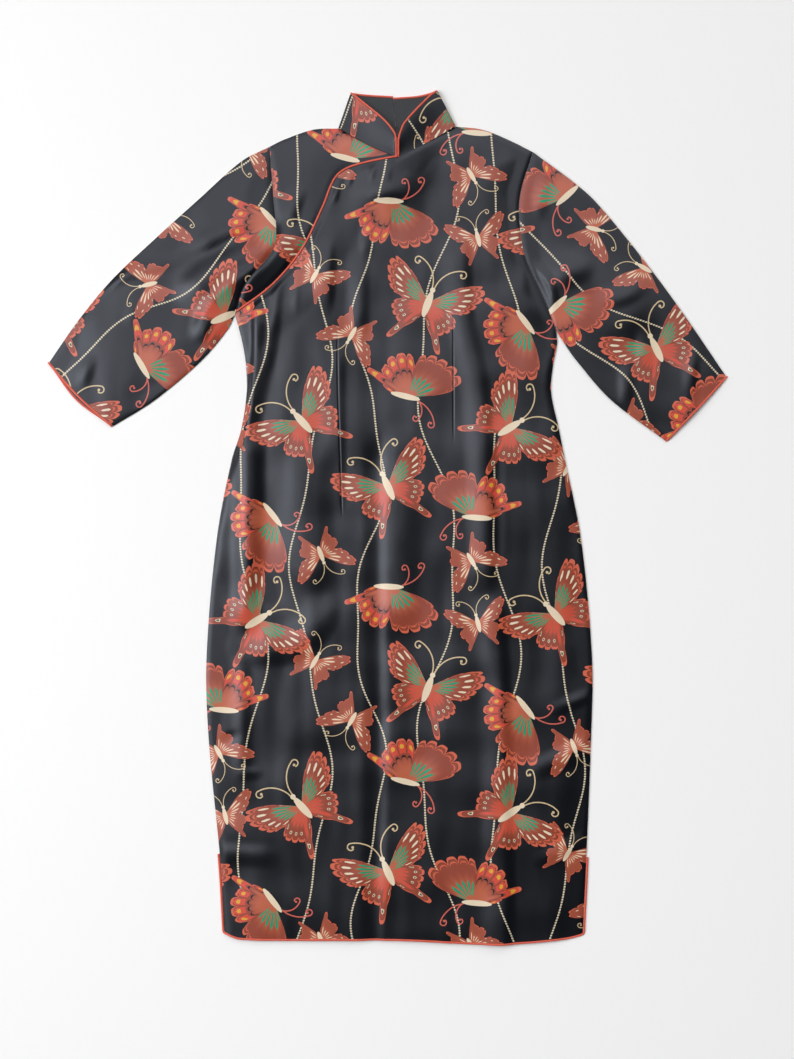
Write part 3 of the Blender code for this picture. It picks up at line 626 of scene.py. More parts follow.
# %% [markdown]
# The print is worn by the cloth, not by the room, so every shell carries a map in metres of
# its flat cut.  Butterflies are laid out on that map by a half-drop repeat: each column of
# the repeat starts half a repeat lower than the one before.  A face then notes, in a map of
# its own for each kind of butterfly, where it lies on the nearest one.  The shader only has
# to draw one butterfly of each kind, however many the cloth shows.

# %% Layout of the print
Motif = namedtuple("Motif", "kind across up turn flip")
REPEAT_WIDTH = 0.336
REPEAT_HEIGHT = 0.512
REPEAT = (
    Motif("open", 0.050, 0.062, 24, 1),
    Motif("side", 0.164, 0.020, 18, 1),
    Motif("small", 0.290, 0.086, -30, 1),
    Motif("side", 0.078, 0.180, -36, -1),
    Motif("open", 0.214, 0.140, -58, 1),
    Motif("small", 0.298, 0.226, 200, 1),
    Motif("open", 0.104, 0.306, -20, -1),
    Motif("side", 0.236, 0.276, 150, 1),
    Motif("small", 0.002, 0.262, 150, -1),
    Motif("small", 0.170, 0.392, 14, 1),
    Motif("open", 0.272, 0.404, 42, 1),
    Motif("side", 0.056, 0.440, -160, 1),
    Motif("small", 0.162, 0.474, -150, 1),
)
MOTIF_SIZE = {"open": 0.079, "side": 0.074, "small": 0.049}
MOTIF_REACH = 1.3
FAR_AWAY = 9.0


def motifs_over(kind, low, high):
    """Every butterfly of one kind whose middle may touch a box of the print."""
    found = []
    reach = MOTIF_SIZE[kind] * MOTIF_REACH
    first_column = math.floor((low[0] - reach) / REPEAT_WIDTH) - 1
    last_column = math.ceil((high[0] + reach) / REPEAT_WIDTH)
    first_row = math.floor((low[1] - reach) / REPEAT_HEIGHT) - 1
    last_row = math.ceil((high[1] + reach) / REPEAT_HEIGHT) + 1
    for column in range(first_column, last_column + 1):
        drop = REPEAT_HEIGHT / 2 if column % 2 else 0.0
        for row in range(first_row, last_row + 1):
            for motif in REPEAT:
                if motif.kind == kind:
                    across = column * REPEAT_WIDTH + motif.across
                    found.append((across, row * REPEAT_HEIGHT + motif.up - drop, motif))
    return found


def motif_map(kind, corners):
    """Each face corner's place on the nearest butterfly of one kind, in that butterfly's own
    upright frame, or far away where there is none."""
    middles = corners.mean(axis=1)
    reach = MOTIF_SIZE[kind] * MOTIF_REACH
    nearest = np.full(len(middles), reach)
    local = np.full(corners.shape, FAR_AWAY)
    for across, up, motif in motifs_over(kind, middles.min(axis=0), middles.max(axis=0)):
        away = np.hypot(middles[:, 0] - across, middles[:, 1] - up)
        near = away < nearest
        nearest[near] = away[near]
        angle = math.radians(motif.turn)
        x = (corners[near, :, 0] - across) / MOTIF_SIZE[kind]
        y = (corners[near, :, 1] - up) / MOTIF_SIZE[kind]
        local[near, :, 0] = (x * math.cos(angle) + y * math.sin(angle)) * motif.flip
        local[near, :, 1] = y * math.cos(angle) - x * math.sin(angle)
    return local


print("butterflies in one repeat", len(REPEAT))

# %% [markdown]
# A shell is two skins of points with a rim between them.  It could be a plane with a
# Solidify modifier, but a sewn panel has curved edges, and its underside has to lie on the
# panel below it, so both skins are worked out here, and the faces follow row by row.
# Rows that go round, as on a sleeve, join their last column to their first.

# %% Shell builder
Cut = namedtuple("Cut", "width length area")
BAKE_SHARE = 0.98
BAKE_GAP = 0.01
SMOOTH_ANGLE = 50
cut_of = {}


def plan_area(grid):
    """The area of a flat grid of points."""
    one = grid[1:, 1:] - grid[:-1, :-1]
    other = grid[1:, :-1] - grid[:-1, 1:]
    return float(np.abs(one[..., 0] * other[..., 1] - one[..., 1] * other[..., 0]).sum() / 2)


def set_map(mesh, name, corners):
    """One more map on a mesh, from its face corners in order."""
    layer = mesh.uv_layers.new(name=name)
    layer.data.foreach_set("uv", corners.reshape(-1).astype(np.float32))


def shell(name, outside, inside, flat, ring=False, printed=True, shift=(0.0, 0.0), turn=0.0):
    """A closed shell of cloth from two grids of points, with its maps.

    flat holds where each point lies on the flat cut.  shift and turn place the print on it.
    """
    rows, columns = outside.shape[:2]
    flat_columns = flat.shape[1]
    across = columns if ring else columns - 1
    j, i = np.meshgrid(np.arange(rows - 1), np.arange(across), indexing="ij")
    j, i = j.ravel(), i.ravel()
    corner_rows = np.column_stack((j, j, j + 1, j + 1))
    corner_columns = np.column_stack((i, i + 1, i + 1, i))
    outer = corner_rows * columns + corner_columns % columns
    inner = (outer + rows * columns)[:, ::-1]
    flat_corners = flat[corner_rows, corner_columns]
    faces = [outer, inner]
    cuts = [flat_corners, flat_corners[:, ::-1]]
    sides = [np.zeros(len(outer)), np.ones(len(inner))]

    def rim(rows_there, columns_there):
        edge = rows_there * columns + columns_there % columns
        below = edge + rows * columns
        faces.append(np.column_stack((edge[1:], edge[:-1], below[:-1], below[1:])))
        places = flat[rows_there, np.minimum(columns_there, flat_columns - 1)]
        cuts.append(np.stack((places[1:], places[:-1], places[:-1], places[1:]), axis=1))
        sides.append(np.zeros(len(edge) - 1))

    round_row = np.arange(across + 1)
    rim(np.zeros(across + 1, int), round_row)
    rim(np.full(across + 1, rows - 1), round_row[::-1])
    if not ring:
        up_column = np.arange(rows)
        rim(up_column[::-1], np.zeros(rows, int))
        rim(up_column, np.full(rows, columns - 1))
    points = np.vstack((outside.reshape(-1, 3), inside.reshape(-1, 3)))
    faces = np.vstack(faces)
    cuts = np.vstack(cuts)
    sides = np.concatenate(sides)
    mesh = bpy.data.meshes.new(name)
    mesh.from_pydata(points.tolist(), [], faces.tolist())
    thing = bpy.data.objects.new(name, mesh)
    bpy.context.collection.objects.link(thing)
    width, length = np.ptp(flat.reshape(-1, 2), axis=0)
    cut_of[name] = Cut(float(width), float(length), plan_area(flat))

    angle = math.radians(turn)
    turned = cuts @ np.array(((math.cos(angle), math.sin(angle)), (-math.sin(angle), math.cos(angle))))
    laid = turned + np.array(shift)
    set_map(mesh, "Cloth", laid)
    if printed:
        for kind in MOTIF_SIZE:
            set_map(mesh, kind.capitalize(), motif_map(kind, laid))
    low = cuts.reshape(-1, 2).min(axis=0)
    size = cuts.reshape(-1, 2).max(axis=0) - low
    scale = BAKE_SHARE / max(2 * size[0], size[1])
    bake = (cuts - low) * scale
    bake[:, :, 0] += (sides * (size[0] * scale + BAKE_GAP))[:, None]
    set_map(mesh, "OFBake", bake)
    make_faces_agree(thing)
    return thing


def make_faces_agree(thing):
    """Point the faces of a closed mesh outwards and shade it smooth up to its rims."""
    bpy.context.view_layer.objects.active = thing
    thing.select_set(True)
    bpy.ops.object.mode_set(mode="EDIT")
    bpy.ops.mesh.select_all(action="SELECT")
    bpy.ops.mesh.normals_make_consistent(inside=False)
    bpy.ops.object.mode_set(mode="OBJECT")
    bpy.ops.object.shade_smooth_by_angle(angle=math.radians(SMOOTH_ANGLE))
    thing.select_set(False)


def with_height(plan, height):
    """Plan points with a height each."""
    return np.dstack((plan, height))


def add_edge_columns(grid, steps):
    """The same grid with extra columns close to both side edges, where the cloth rolls."""
    first = unit_length(grid[:, 1] - grid[:, 0])
    last = unit_length(grid[:, -2] - grid[:, -1])
    near = [grid[:, 0] + first * step for step in steps]
    far = [grid[:, -1] + last * step for step in steps[::-1]]
    return np.stack([grid[:, 0], *near, *np.moveaxis(grid[:, 1:-1], 1, 0), *far, grid[:, -1]], axis=1)


print("shell builder ready")

# %% [markdown]
# Between its folds, cloth that has been worn is full of small creases.  Noise in a bump map
# would only shade them, and from the side the cloth would be smooth, so they are real height
# here.  Each size of crease is a lattice of seeded random heights, most of them stretched
# along the fall of the cloth, and a cubic spline rolls smoothly over it.

# %% Small creases
Ripple = namedtuple("Ripple", "name across up height seed")
RIPPLES = (
    Ripple("slow rolls", 0.075, 0.150, 0.0034, 11),
    Ripple("upright creases", 0.028, 0.085, 0.0022, 23),
    Ripple("fine creases", 0.0125, 0.040, 0.0010, 31),
    Ripple("cross creases", 0.060, 0.024, 0.0018, 47),
)
RIPPLE_LATTICE = 128


def rolling(points, ripple):
    """A smooth random surface: a cubic spline over a lattice of seeded heights."""
    lattice = np.random.default_rng(ripple.seed).uniform(-1.0, 1.0, (RIPPLE_LATTICE, RIPPLE_LATTICE))
    cells = points / (ripple.across, ripple.up) + RIPPLE_LATTICE / 2
    first = np.floor(cells).astype(int)
    t = cells - first
    shares = np.stack(((1 - t)**3, 3 * t**3 - 6 * t**2 + 4, 1 + 3 * t + 3 * t**2 - 3 * t**3, t**3)) / 6
    total = np.zeros(points.shape[:-1])
    for i in range(4):
        for j in range(4):
            corner = lattice[first[..., 0] + i - 1, first[..., 1] + j - 1]
            total += corner * shares[i, ..., 0] * shares[j, ..., 1]
    return total * ripple.height


def unevenness(points):
    """The small creases that no pressed cloth is ever free of."""
    return sum(rolling(points, ripple) for ripple in RIPPLES)


print("sizes of crease", len(RIPPLES))

# %% [markdown]
# The front is the largest panel.  Its lower half runs between the side seams, and its upper
# half from the slanting opening to the right armhole.  It stands off the back by a few
# millimetres of air, is pressed down along its seams, and is lifted where the underlap and
# the collar lie below it.

# %% Front
EDGE_STEPS = (0.0005, 0.0012, 0.0022)
EDGE_ROLL = 0.0011
EDGE_ROLL_REACH = 0.0042
SEAM_HOLD = 0.009


def neck_lift(points):
    """How far the neck edge stands up to meet the front of the collar."""
    from_neck = distance_to(points, [rough["neck_left"], rough["neck_right"]])
    from_shoulder = distance_to(points, [rough["shoulder_left"], rough["shoulder_right"]])
    return NECK_LIFT * ease(1.0 - from_neck / NECK_LIFT_REACH) * ease(from_shoulder / SHOULDER_HOLD)


def underlap_lift(points):
    """How far the front is lifted by the underlap below it."""
    away = distance_to(points, [rough["opening_side"], rough["opening_top"]])
    return UNDERLAP_STEP * ease(1.0 - (away - UNDERLAP_WIDTH - UNDERLAP_SPARE) / UNDERLAP_FADE)


front_top = np.vstack((
    lines["opening_top"],
    lines["neck_right"][::-1][1:],
    lines["shoulder_right"][::-1][1:],
))
front_held = [
    rough["side_left"], rough["side_right"], rough["opening_side"], rough["armhole_right"],
    rough["opening_top"], rough["neck_right"], rough["shoulder_right"],
]


def front_height(points):
    """The height of the front's underside."""
    away = distance_to(points, front_held)
    puff = FRONT_PUFF * ease(away / FRONT_PUFF_REACH)
    loose = ease(away / SEAM_HOLD)
    folded = np.maximum(puff + (fold_height(points, FRONT_FOLDS) + unevenness(points)) * loose, 0.0)
    return FRONT_LOW + folded + underlap_lift(points) + neck_lift(points) + fold_height(points, THROAT)


def seam_roll(points, seams):
    """How far the cloth dips where it is turned in at a seam."""
    return EDGE_ROLL * (1.0 - ease(distance_to(points, seams) / EDGE_ROLL_REACH))


def lay_panel(name, grid, height, rolled, **maps):
    """A panel of cloth whose top is one wall's thickness above a height function."""
    grid = add_edge_columns(grid, EDGE_STEPS)
    top = height(grid) + CLOTH - seam_roll(grid, rolled)
    outside = with_height(grid, top)
    inside = with_height(grid, top - SHELL)
    return shell(name, outside, inside, grid, **maps)


hem_line = line_of(HEM, FRONT_COLUMNS)
underarm_row = evenly([lines["side_left"][-1], lines["side_right"][-1]], FRONT_COLUMNS)
lower_front = patch(hem_line, underarm_row, lines["side_left"], lines["side_right"])
upper_front = patch(underarm_row, front_top, lines["opening_side"], lines["armhole_right"])
front_grid = np.vstack((lower_front, upper_front[1:]))
front_rolled = [
    rough["side_left"], rough["side_right"], rough["armhole_right"], rough["shoulder_right"],
    rough["neck_right"],
]
front_cloth = lay_panel("front_cloth", front_grid, front_height, front_rolled, shift=(0.05, 0.02))

# %% [markdown]
# Two long darts take in the waist.  Each is a seam that ends in the cloth, so it shows as a
# fine pinched line.  The mesh is too coarse for a line that thin, so a map notes how far each
# corner lies from the nearer dart, and the shader turns that into a groove with painted shade.

# %% Darts
DARTS = (
    (Spot("low", -0.0736, 0.565), Spot("waist", -0.0790, 0.735), Spot("high", -0.0802, 0.821)),
    (Spot("low", 0.0745, 0.662), Spot("waist", 0.0742, 0.735), Spot("high", 0.0740, 0.840)),
)
DART_TAPER = 0.030
DART_MAP_SPAN = 0.100
DART_MAP_MIDDLE = 0.5
vertices = np.empty(3 * len(front_cloth.data.vertices))
front_cloth.data.vertices.foreach_get("co", vertices)
corner = np.empty(len(front_cloth.data.loops), int)
front_cloth.data.loops.foreach_get("vertex_index", corner)
spot_x, spot_y = vertices.reshape(-1, 3)[corner, :2].T
dart_map = np.zeros((len(corner), 2))
for dart in DARTS:
    marks = np.array(places(dart))
    off = (spot_x - np.interp(spot_y, marks[:, 1], marks[:, 0])) / DART_MAP_SPAN
    near = (np.abs(off) < DART_MAP_MIDDLE) & (spot_y > marks[0, 1]) & (spot_y < marks[-1, 1])
    inside = np.minimum(spot_y[near] - marks[0, 1], marks[-1, 1] - spot_y[near])
    dart_map[near] = np.column_stack((off[near] + DART_MAP_MIDDLE, ease(inside / DART_TAPER)))
set_map(front_cloth.data, "Dart", dart_map)
print("darts", len(DARTS))
print("front", len(front_cloth.data.polygons), "faces")

# %% [markdown]
# The underlap is the small panel below the slanting edge.  It runs up to the left shoulder,
# and a strip of it stays hidden below the front.

# %% Underlap
opening_line = np.vstack((lines["opening_side"], lines["opening_top"][1:]))
taper = np.minimum(UNDERLAP_TAPER * np.arange(len(opening_line)) / (len(opening_line) - 1), 1.0)
hidden = opening_line + (shifted(opening_line, -UNDERLAP_WIDTH) - opening_line) * taper[:, None]
underlap_columns = COLUMNS["neck"] + COLUMNS["shoulder"]
hidden = evenly(hidden, underlap_columns)
underlap_top = np.vstack((lines["shoulder_left"], lines["neck_left"][1:]))
centre_edge = evenly([hidden[-1], underlap_top[-1]], ARMHOLE_ROWS)
underlap_grid = patch(hidden, underlap_top, lines["armhole_left"], centre_edge)
underlap_seams = [rough["armhole_left"], rough["shoulder_left"], rough["neck_left"]]


def visible(points):
    """1 where the underlap is open to view and 0 where the front covers it."""
    edge = np.vstack((rough["opening_side"], rough["opening_top"][1:]))
    edge_x = np.interp(points[..., 1], edge[:, 1], edge[:, 0])
    return (points[..., 0] < edge_x).astype(float)


def underlap_height(points):
    """The height of the underlap's underside."""
    covered = [rough["opening_side"], rough["opening_top"]]
    away = distance_to(points, [*underlap_seams, *covered])
    from_cover = ease(distance_to(points, covered) / SEAM_HOLD)
    loose = fold_height(points, UNDERLAP_FOLDS) + UNDERLAP_CALM * unevenness(points)
    loose = loose * ease(away / SEAM_HOLD) + fold_height(points, CROSSING_FOLDS) * from_cover
    lifted = neck_lift(points) + fold_height(points, THROAT)
    return FRONT_LOW + np.maximum(loose * visible(points), 0.0) + lifted


underlap_cloth = lay_panel(
    "underlap_cloth", underlap_grid, underlap_height, underlap_seams, shift=(0.130, 0.215),
)
print("underlap", len(underlap_cloth.data.polygons), "faces")

# %% [markdown]
# The back lies flat on the floor, outside down.  Its two halves meet in a centre-back seam.

# %% Back
BACK_SIDE_ROWS = 96
BACK_ARMHOLE_ROWS = 30
BACK_SHOULDER_COLUMNS = 14


def back_grid(side_name):
    """The plan of one back half, from the centre-back seam to the side."""
    sign = -1 if side_name == "left" else 1
    side = evenly(lines["side_" + side_name], BACK_SIDE_ROWS)
    armhole = evenly(lines["armhole_" + side_name], BACK_ARMHOLE_ROWS)
    neck = lines["back_neck_" + side_name]
    shoulder = evenly(lines["shoulder_" + side_name], BACK_SHOULDER_COLUMNS)
    seam_x = neck[-1, 0]
    hem = hem_line[(hem_line[:, 0] - seam_x) * sign > CLOTH]
    hem = hem[np.argsort(hem[:, 0] * sign)]
    foot = np.array((seam_x, hem[0, 1]))
    bust = np.array((seam_x, side[-1, 1]))
    columns = BACK_NECK_COLUMNS + BACK_SHOULDER_COLUMNS
    bust_row = evenly([bust, side[-1]], columns)
    hem_row = evenly(np.vstack((foot, hem)), columns)
    lower = patch(hem_row, bust_row, evenly([foot, bust], BACK_SIDE_ROWS), side)
    top = np.vstack((neck[::-1], shoulder[::-1][1:]))
    upper = patch(bust_row, top, evenly([bust, neck[-1]], BACK_ARMHOLE_ROWS), armhole)
    return np.vstack((lower, upper[1:]))


back_cloth = {}
back_plans = {}
for side_name, shift in (("left", (0.171, 0.090)), ("right", (0.020, 0.263))):
    plan = back_grid(side_name)
    back_plans[side_name] = plan
    level = np.zeros(plan.shape[:2])
    top = with_height(plan, level + SHELL)
    back_cloth[side_name] = shell(
        "back_cloth_" + side_name, top, with_height(plan, level), plan, shift=shift,
    )
print("back", [len(half.data.polygons) for half in back_cloth.values()])

# %% [markdown]
# A sleeve is a tube that lies flat, so each ring of it runs over the arm, round a soft fold,
# and back below.  The fold keeps a round edge: close to it, both layers curve together as
# the two halves of a narrow arch.  Near the cuff the lower layer has slipped outwards a
# little, so its edge shows beyond the upper one.

# %% Sleeves
SLEEVE_COLUMNS = 44
ROUND_STEPS = (0.0004, 0.0012, 0.0026, 0.0046)
FOLD_ROUND = 0.0075
SLEEVE_GAP = 0.0002
SLEEVE_TURN = {"left": 46.0, "right": -46.0}
CUFF_PARTING = {"left": 0.0048, "right": 0.0022}
CUFF_PARTING_REACH = 0.060
SLEEVE_SHIFT = {"left": (0.110, 0.020), "right": (0.030, 0.150)}
sleeve_cloth = {}
cuff_rings = {}


def arch(away):
    """How far a fold has opened at a distance from its edge, from 0 to 1."""
    closeness = np.clip(1.0 - away / FOLD_ROUND, 0.0, 1.0)
    return np.sqrt(1.0 - closeness**2)


for side_name in ("left", "right"):
    start = evenly(lines["sleeve_" + side_name][::-1], SLEEVE_COLUMNS)
    over = line_of(SLEEVE_TOP[side_name], SLEEVE_ROWS)
    under = line_of(SLEEVE_UNDER[side_name], SLEEVE_ROWS)
    over[0] = start[0]
    under[0] = start[-1]
    across = under[-1] - over[-1]
    outward = np.array((across[1], -across[0])) / np.hypot(*across)
    bow = outward * CUFF_BOW[side_name]
    cuff = curve_through([over[-1], over[-1] + across / 2 + bow, under[-1]], SLEEVE_COLUMNS)
    plan = add_edge_columns(patch(start, cuff, over, under), ROUND_STEPS)
    folds = [evenly(over, SEAM_STEPS), evenly(under, SEAM_STEPS)]
    seam = [rough["sleeve_" + side_name]]
    away = distance_to(plan, folds + seam)
    raised = SLEEVE_PUFF * ease(away / SLEEVE_PUFF_REACH)
    loose = fold_height(plan, SLEEVE_FOLDS) + SLEEVE_CALM * unevenness(plan)
    crossing = fold_height(plan, CROSSING_FOLDS) * ease(distance_to(plan, folds) / SEAM_HOLD)
    raised = np.clip(raised + loose * ease(away / SEAM_HOLD) + crossing, 0.0, SLEEVE_MOST)
    top = FRONT_LOW + raised + CLOTH - seam_roll(plan, seam)
    opened = arch(distance_to(plan, folds))
    middle = (FRONT_LOW + CLOTH) / 2
    half_gap = SLEEVE_GAP / 2
    top_outer = middle + SLEEVE_GAP + (top - middle - SLEEVE_GAP) * opened
    top_inner = middle + half_gap + (top - SHELL - middle - half_gap) * opened
    low_outer = middle - SLEEVE_GAP - (middle - SLEEVE_GAP) * opened
    low_inner = middle - half_gap - (middle - SHELL - half_gap) * opened
    from_cuff = distance_to(plan, [evenly(cuff, SEAM_STEPS)])
    parted = CUFF_PARTING[side_name] * ease(1.0 - from_cuff / CUFF_PARTING_REACH)
    parted = parted * ease(distance_to(plan, folds) / CUFF_PARTING_REACH)
    lower = plan + parted[..., None] * outward
    outside = np.concatenate((with_height(plan, top_outer), with_height(lower, low_outer)[:, ::-1]), axis=1)
    inside = np.concatenate((with_height(plan, top_inner), with_height(lower, low_inner)[:, ::-1]), axis=1)
    below = 2 * plan[:, -1:] - plan[:, ::-1]
    flat = np.concatenate((plan, below, below[:, -1:]), axis=1)
    sleeve_cloth[side_name] = shell(
        "sleeve_cloth_" + side_name, outside, inside, flat, ring=True,
        shift=SLEEVE_SHIFT[side_name], turn=SLEEVE_TURN[side_name],
    )
    cuff_rings[side_name] = (outside[-1] + inside[-1]) / 2
    widest = 2 * np.linalg.norm(np.diff(plan, axis=1), axis=2).sum(axis=1).max()
    longest = np.linalg.norm(np.diff(over, axis=0), axis=1).sum()
    cut_of["sleeve_cloth_" + side_name] = Cut(float(widest), float(longest), 2 * plan_area(plan))
print("sleeves", [len(sleeve.data.polygons) for sleeve in sleeve_cloth.values()])

# %% [markdown]
# The stand collar is a stiff band, split at the centre back and cut away to a V in front.
# Laid flat, each half goes from the centre back along the floor, folds at the side of the
# neck and comes back over itself to the centre front.  The outside is printed satin and
# the inside a plain dark cloth, which shows in the V.

# %% Collar
collar_cloth = {}
collar_lining = {}
collar_edges = {}


def collar_outline(side_name):
    """The four edges of one collar half, cut back at the centre for piping and split."""
    sign = 1 if side_name == "left" else -1
    stand_off = sign * (PIPING_WIDTH + 1.5 * SEAM_GAP)
    neck = shifted(line_of(BACK_NECK[side_name], BACK_NECK_COLUMNS), sign * SEAM_GAP / 2)
    neck[-1, 0] -= sign * SEAM_GAP
    neck = neck[::-1]
    top = line_of(COLLAR_BACK_TOP[side_name], BACK_NECK_COLUMNS)
    top[0, 0] -= sign * SEAM_GAP
    front = shifted(line_of(NECK[side_name], COLUMNS["neck"]), sign * SEAM_GAP / 2)
    centre_front = places(NECK[side_name])[-1]
    end = np.array((centre_front[0] - stand_off, front[-1, 1]))
    short = front[np.abs(front[:, 0] - front[0, 0]) < abs(end[0] - front[0, 0])]
    front = evenly(np.vstack((short, end)), COLUMNS["neck"])
    front[0] = neck[-1]
    corners = places(COLLAR_FRONT_TOP[side_name])
    corners[-1] = corners[-1] - np.array((stand_off, 0.0))
    return neck, top, front, curve_through(corners, COLUMNS["neck"])


def collar_rings(outline, depth):
    """Rows of points round one collar half, at a depth below its outer face."""
    back_neck, back_top, front_neck, front_top = outline
    side = evenly([back_neck[-1], back_top[-1]], COLLAR_ROWS)
    centre_back = evenly([back_neck[0], back_top[0]], COLLAR_ROWS)
    centre_front = evenly([front_neck[-1], front_top[-1]], COLLAR_ROWS)
    lower = patch(back_neck, back_top, centre_back, side)
    upper = patch(front_neck, front_top, side, centre_front)
    rings = []
    for j in range(COLLAR_ROWS + 1):
        height = COLLAR_LOW + COLLAR_RISE * ease(j / COLLAR_ROWS)
        edge = side[j]
        lower_way = (lower[j, -2] - edge) / np.linalg.norm(lower[j, -2] - edge)
        upper_way = (upper[j, 1] - edge) / np.linalg.norm(upper[j, 1] - edge)
        ring = [(*point, depth) for point in lower[j, :-1]]
        for step in range(COLLAR_FOLD_STEPS + 1):
            turn = math.pi * step / COLLAR_FOLD_STEPS
            way = lower_way if turn <= math.pi / 2 else upper_way
            share = 1.0 - (1.0 - depth / COLLAR_FOLD) * math.sin(turn)
            plan = edge + way * COLLAR_FOLD * share
            ring.append((*plan, height / 2 - (height / 2 - depth) * math.cos(turn)))
        raised = height + fold_height(upper[j, 2:], THROAT)
        ring += [(*point, level - depth) for point, level in zip(upper[j, 2:], raised)]
        rings.append(ring)
    return np.array(rings)


def band_flat(rings):
    """Where each point of a collar half lies on its flat cut."""
    along = np.linalg.norm(np.diff(rings, axis=1), axis=2)
    reached = np.concatenate((np.zeros((len(rings), 1)), np.cumsum(along, axis=1)), axis=1)
    up = np.linalg.norm(np.diff(rings, axis=0), axis=2)
    height = np.concatenate((np.zeros((1, rings.shape[1])), np.cumsum(up, axis=0)), axis=0)
    return np.dstack((np.broadcast_to(reached.mean(axis=0), height.shape), height))


for side_name, shift in (("left", (0.020, 0.240)), ("right", (0.160, 0.110))):
    outline = collar_outline(side_name)
    outer = collar_rings(outline, 0.0)
    flat = band_flat(outer)
    collar_cloth[side_name] = shell(
        "collar_cloth_" + side_name, outer, collar_rings(outline, SHELL), flat, shift=shift,
    )
    lining_outer = collar_rings(outline, CLOTH + SEAM_GAP)
    lining_inner = collar_rings(outline, COLLAR_DEPTH)
    collar_lining[side_name] = shell(
        "collar_lining_cloth_" + side_name, lining_outer, lining_inner, flat, printed=False,
    )
    collar_edges[side_name] = (outer, lining_inner)
print("collar", [len(half.data.polygons) for half in collar_cloth.values()])

# %% [markdown]
# Piping is a thin cord in a bias strip of satin, sewn along the edge so that only the round
# cord shows.  It could be a curve with a bevel, but on a slit it has to lie flat between two
# layers, so a small oval is carried along the edge instead, upright on the cloth.

# %% Piping
PIPING_SIDES = 10
PIPING_STEP = 0.0028
PIPING_GIRTH_STEP = 0.0009


def fine_line(points, closed):
    """An edge with points at an even, fine step."""
    points = np.vstack((points, points[:1])) if closed else points
    length = np.linalg.norm(np.diff(points, axis=0), axis=1).sum()
    return evenly(points, max(int(length / PIPING_STEP), 4))


def piping(name, edge, sideways, up, thick, closed=False):
    """A round strip that runs beside a cloth edge.

    edge has the points of the cloth edge, sideways points from the cloth to the strip, and
    up away from the cloth's face.
    """
    centre = edge + sideways * (SEAM_GAP + PIPING_WIDTH / 2)
    turn = np.linspace(0.0, 2 * math.pi, PIPING_SIDES, endpoint=False)
    out = np.cos(turn)[None, :, None] * sideways[:, None] * PIPING_WIDTH / 2
    rise = np.sin(turn)[None, :, None] * up[:, None] * thick / 2
    rings = centre[:, None] + out + rise
    if closed:
        rings = rings[:-1]
    rows = len(rings)
    points = rings.reshape(-1, 3)
    faces = []
    for j in range(rows if closed else rows - 1):
        for i in range(PIPING_SIDES):
            near = (i + 1) % PIPING_SIDES
            ahead = (j + 1) % rows
            faces.append((
                j * PIPING_SIDES + i, j * PIPING_SIDES + near,
                ahead * PIPING_SIDES + near, ahead * PIPING_SIDES + i,
            ))
    if not closed:
        faces.append(tuple(range(PIPING_SIDES)))
        faces.append(tuple((rows - 1) * PIPING_SIDES + i for i in range(PIPING_SIDES)))
    mesh = bpy.data.meshes.new(name)
    mesh.from_pydata(points.tolist(), [], faces)
    thing = bpy.data.objects.new(name, mesh)
    bpy.context.collection.objects.link(thing)
    layer = mesh.uv_layers.new(name="Cloth")
    for polygon in mesh.polygons:
        for loop in polygon.loop_indices:
            vertex = mesh.loops[loop].vertex_index
            row, column = divmod(vertex, PIPING_SIDES)
            if closed and row == 0 and polygon.index >= (rows - 1) * PIPING_SIDES:
                row = rows
            if column == 0 and polygon.index % PIPING_SIDES == PIPING_SIDES - 1:
                column = PIPING_SIDES
            layer.data[loop].uv = (row * PIPING_STEP, column * PIPING_GIRTH_STEP)
    make_faces_agree(thing)
    return thing


print("piping helper ready")

# %% [markdown]
# The pipings of hem, slits and opening run along panels that lie flat, so their sideways
# direction is simply level.

# %% Piping on hem, slits and opening
SLIT_SHARE = 1 / 8
HEM_THICK = 0.0013
HEM_ROLL_SHARE = 0.6
OPENING_THICK = 0.0022
pipings = {}


def flat_sideways(points, sign):
    """Level directions square to a line, to its left for 1 and its right for -1."""
    way = directions(points[:, :2])
    return np.column_stack((-way[:, 1] * sign, way[:, 0] * sign, np.zeros(len(way))))


def level_piping(name, plan, height, sign, thick):
    """Piping along an edge of a panel that lies flat."""
    edge = fine_line(np.column_stack((plan, height)), False)
    pipings[name] = piping(name, edge, flat_sideways(edge, sign), np.tile(UP, (len(edge), 1)), thick)


def hem_edge(grid, side_rows):
    """The edge of a body panel, down one slit, along the hem and up the other slit."""
    rows = round(side_rows * SLIT_SHARE)
    return np.vstack((grid[rows:0:-1, 0], grid[0], grid[1:rows + 1, -1]))


hem_plan = hem_edge(front_grid, SIDE_ROWS)
hem_height = front_height(hem_plan) + CLOTH / 2 - seam_roll(hem_plan, front_rolled) * HEM_ROLL_SHARE
level_piping("hem_piping_front", hem_plan, hem_height, -1, HEM_THICK)

whole_back = np.hstack((back_plans["left"][:, ::-1], back_plans["right"]))
back_hem_plan = hem_edge(whole_back, BACK_SIDE_ROWS)
back_hem_height = np.full(len(back_hem_plan), HEM_THICK / 2)
level_piping("hem_piping_back", back_hem_plan, back_hem_height, -1, HEM_THICK)

opening_plan = opening_line[1:]
opening_height = front_height(opening_plan) + OPENING_THICK / 2
level_piping("opening_piping", opening_plan, opening_height, 1, OPENING_THICK)
print("flat pipings", sorted(pipings))

# %% [markdown]
# Round a cuff, sideways is whatever points away from the chest, square to the edge.  On a
# collar it is square to both the edge and the band's face, which turns over at the fold.

# %% Piping on cuffs and collar
CUFF_THICK = 0.0012
COLLAR_PIPING_THICK = 0.0022
CHEST_UP = 0.95

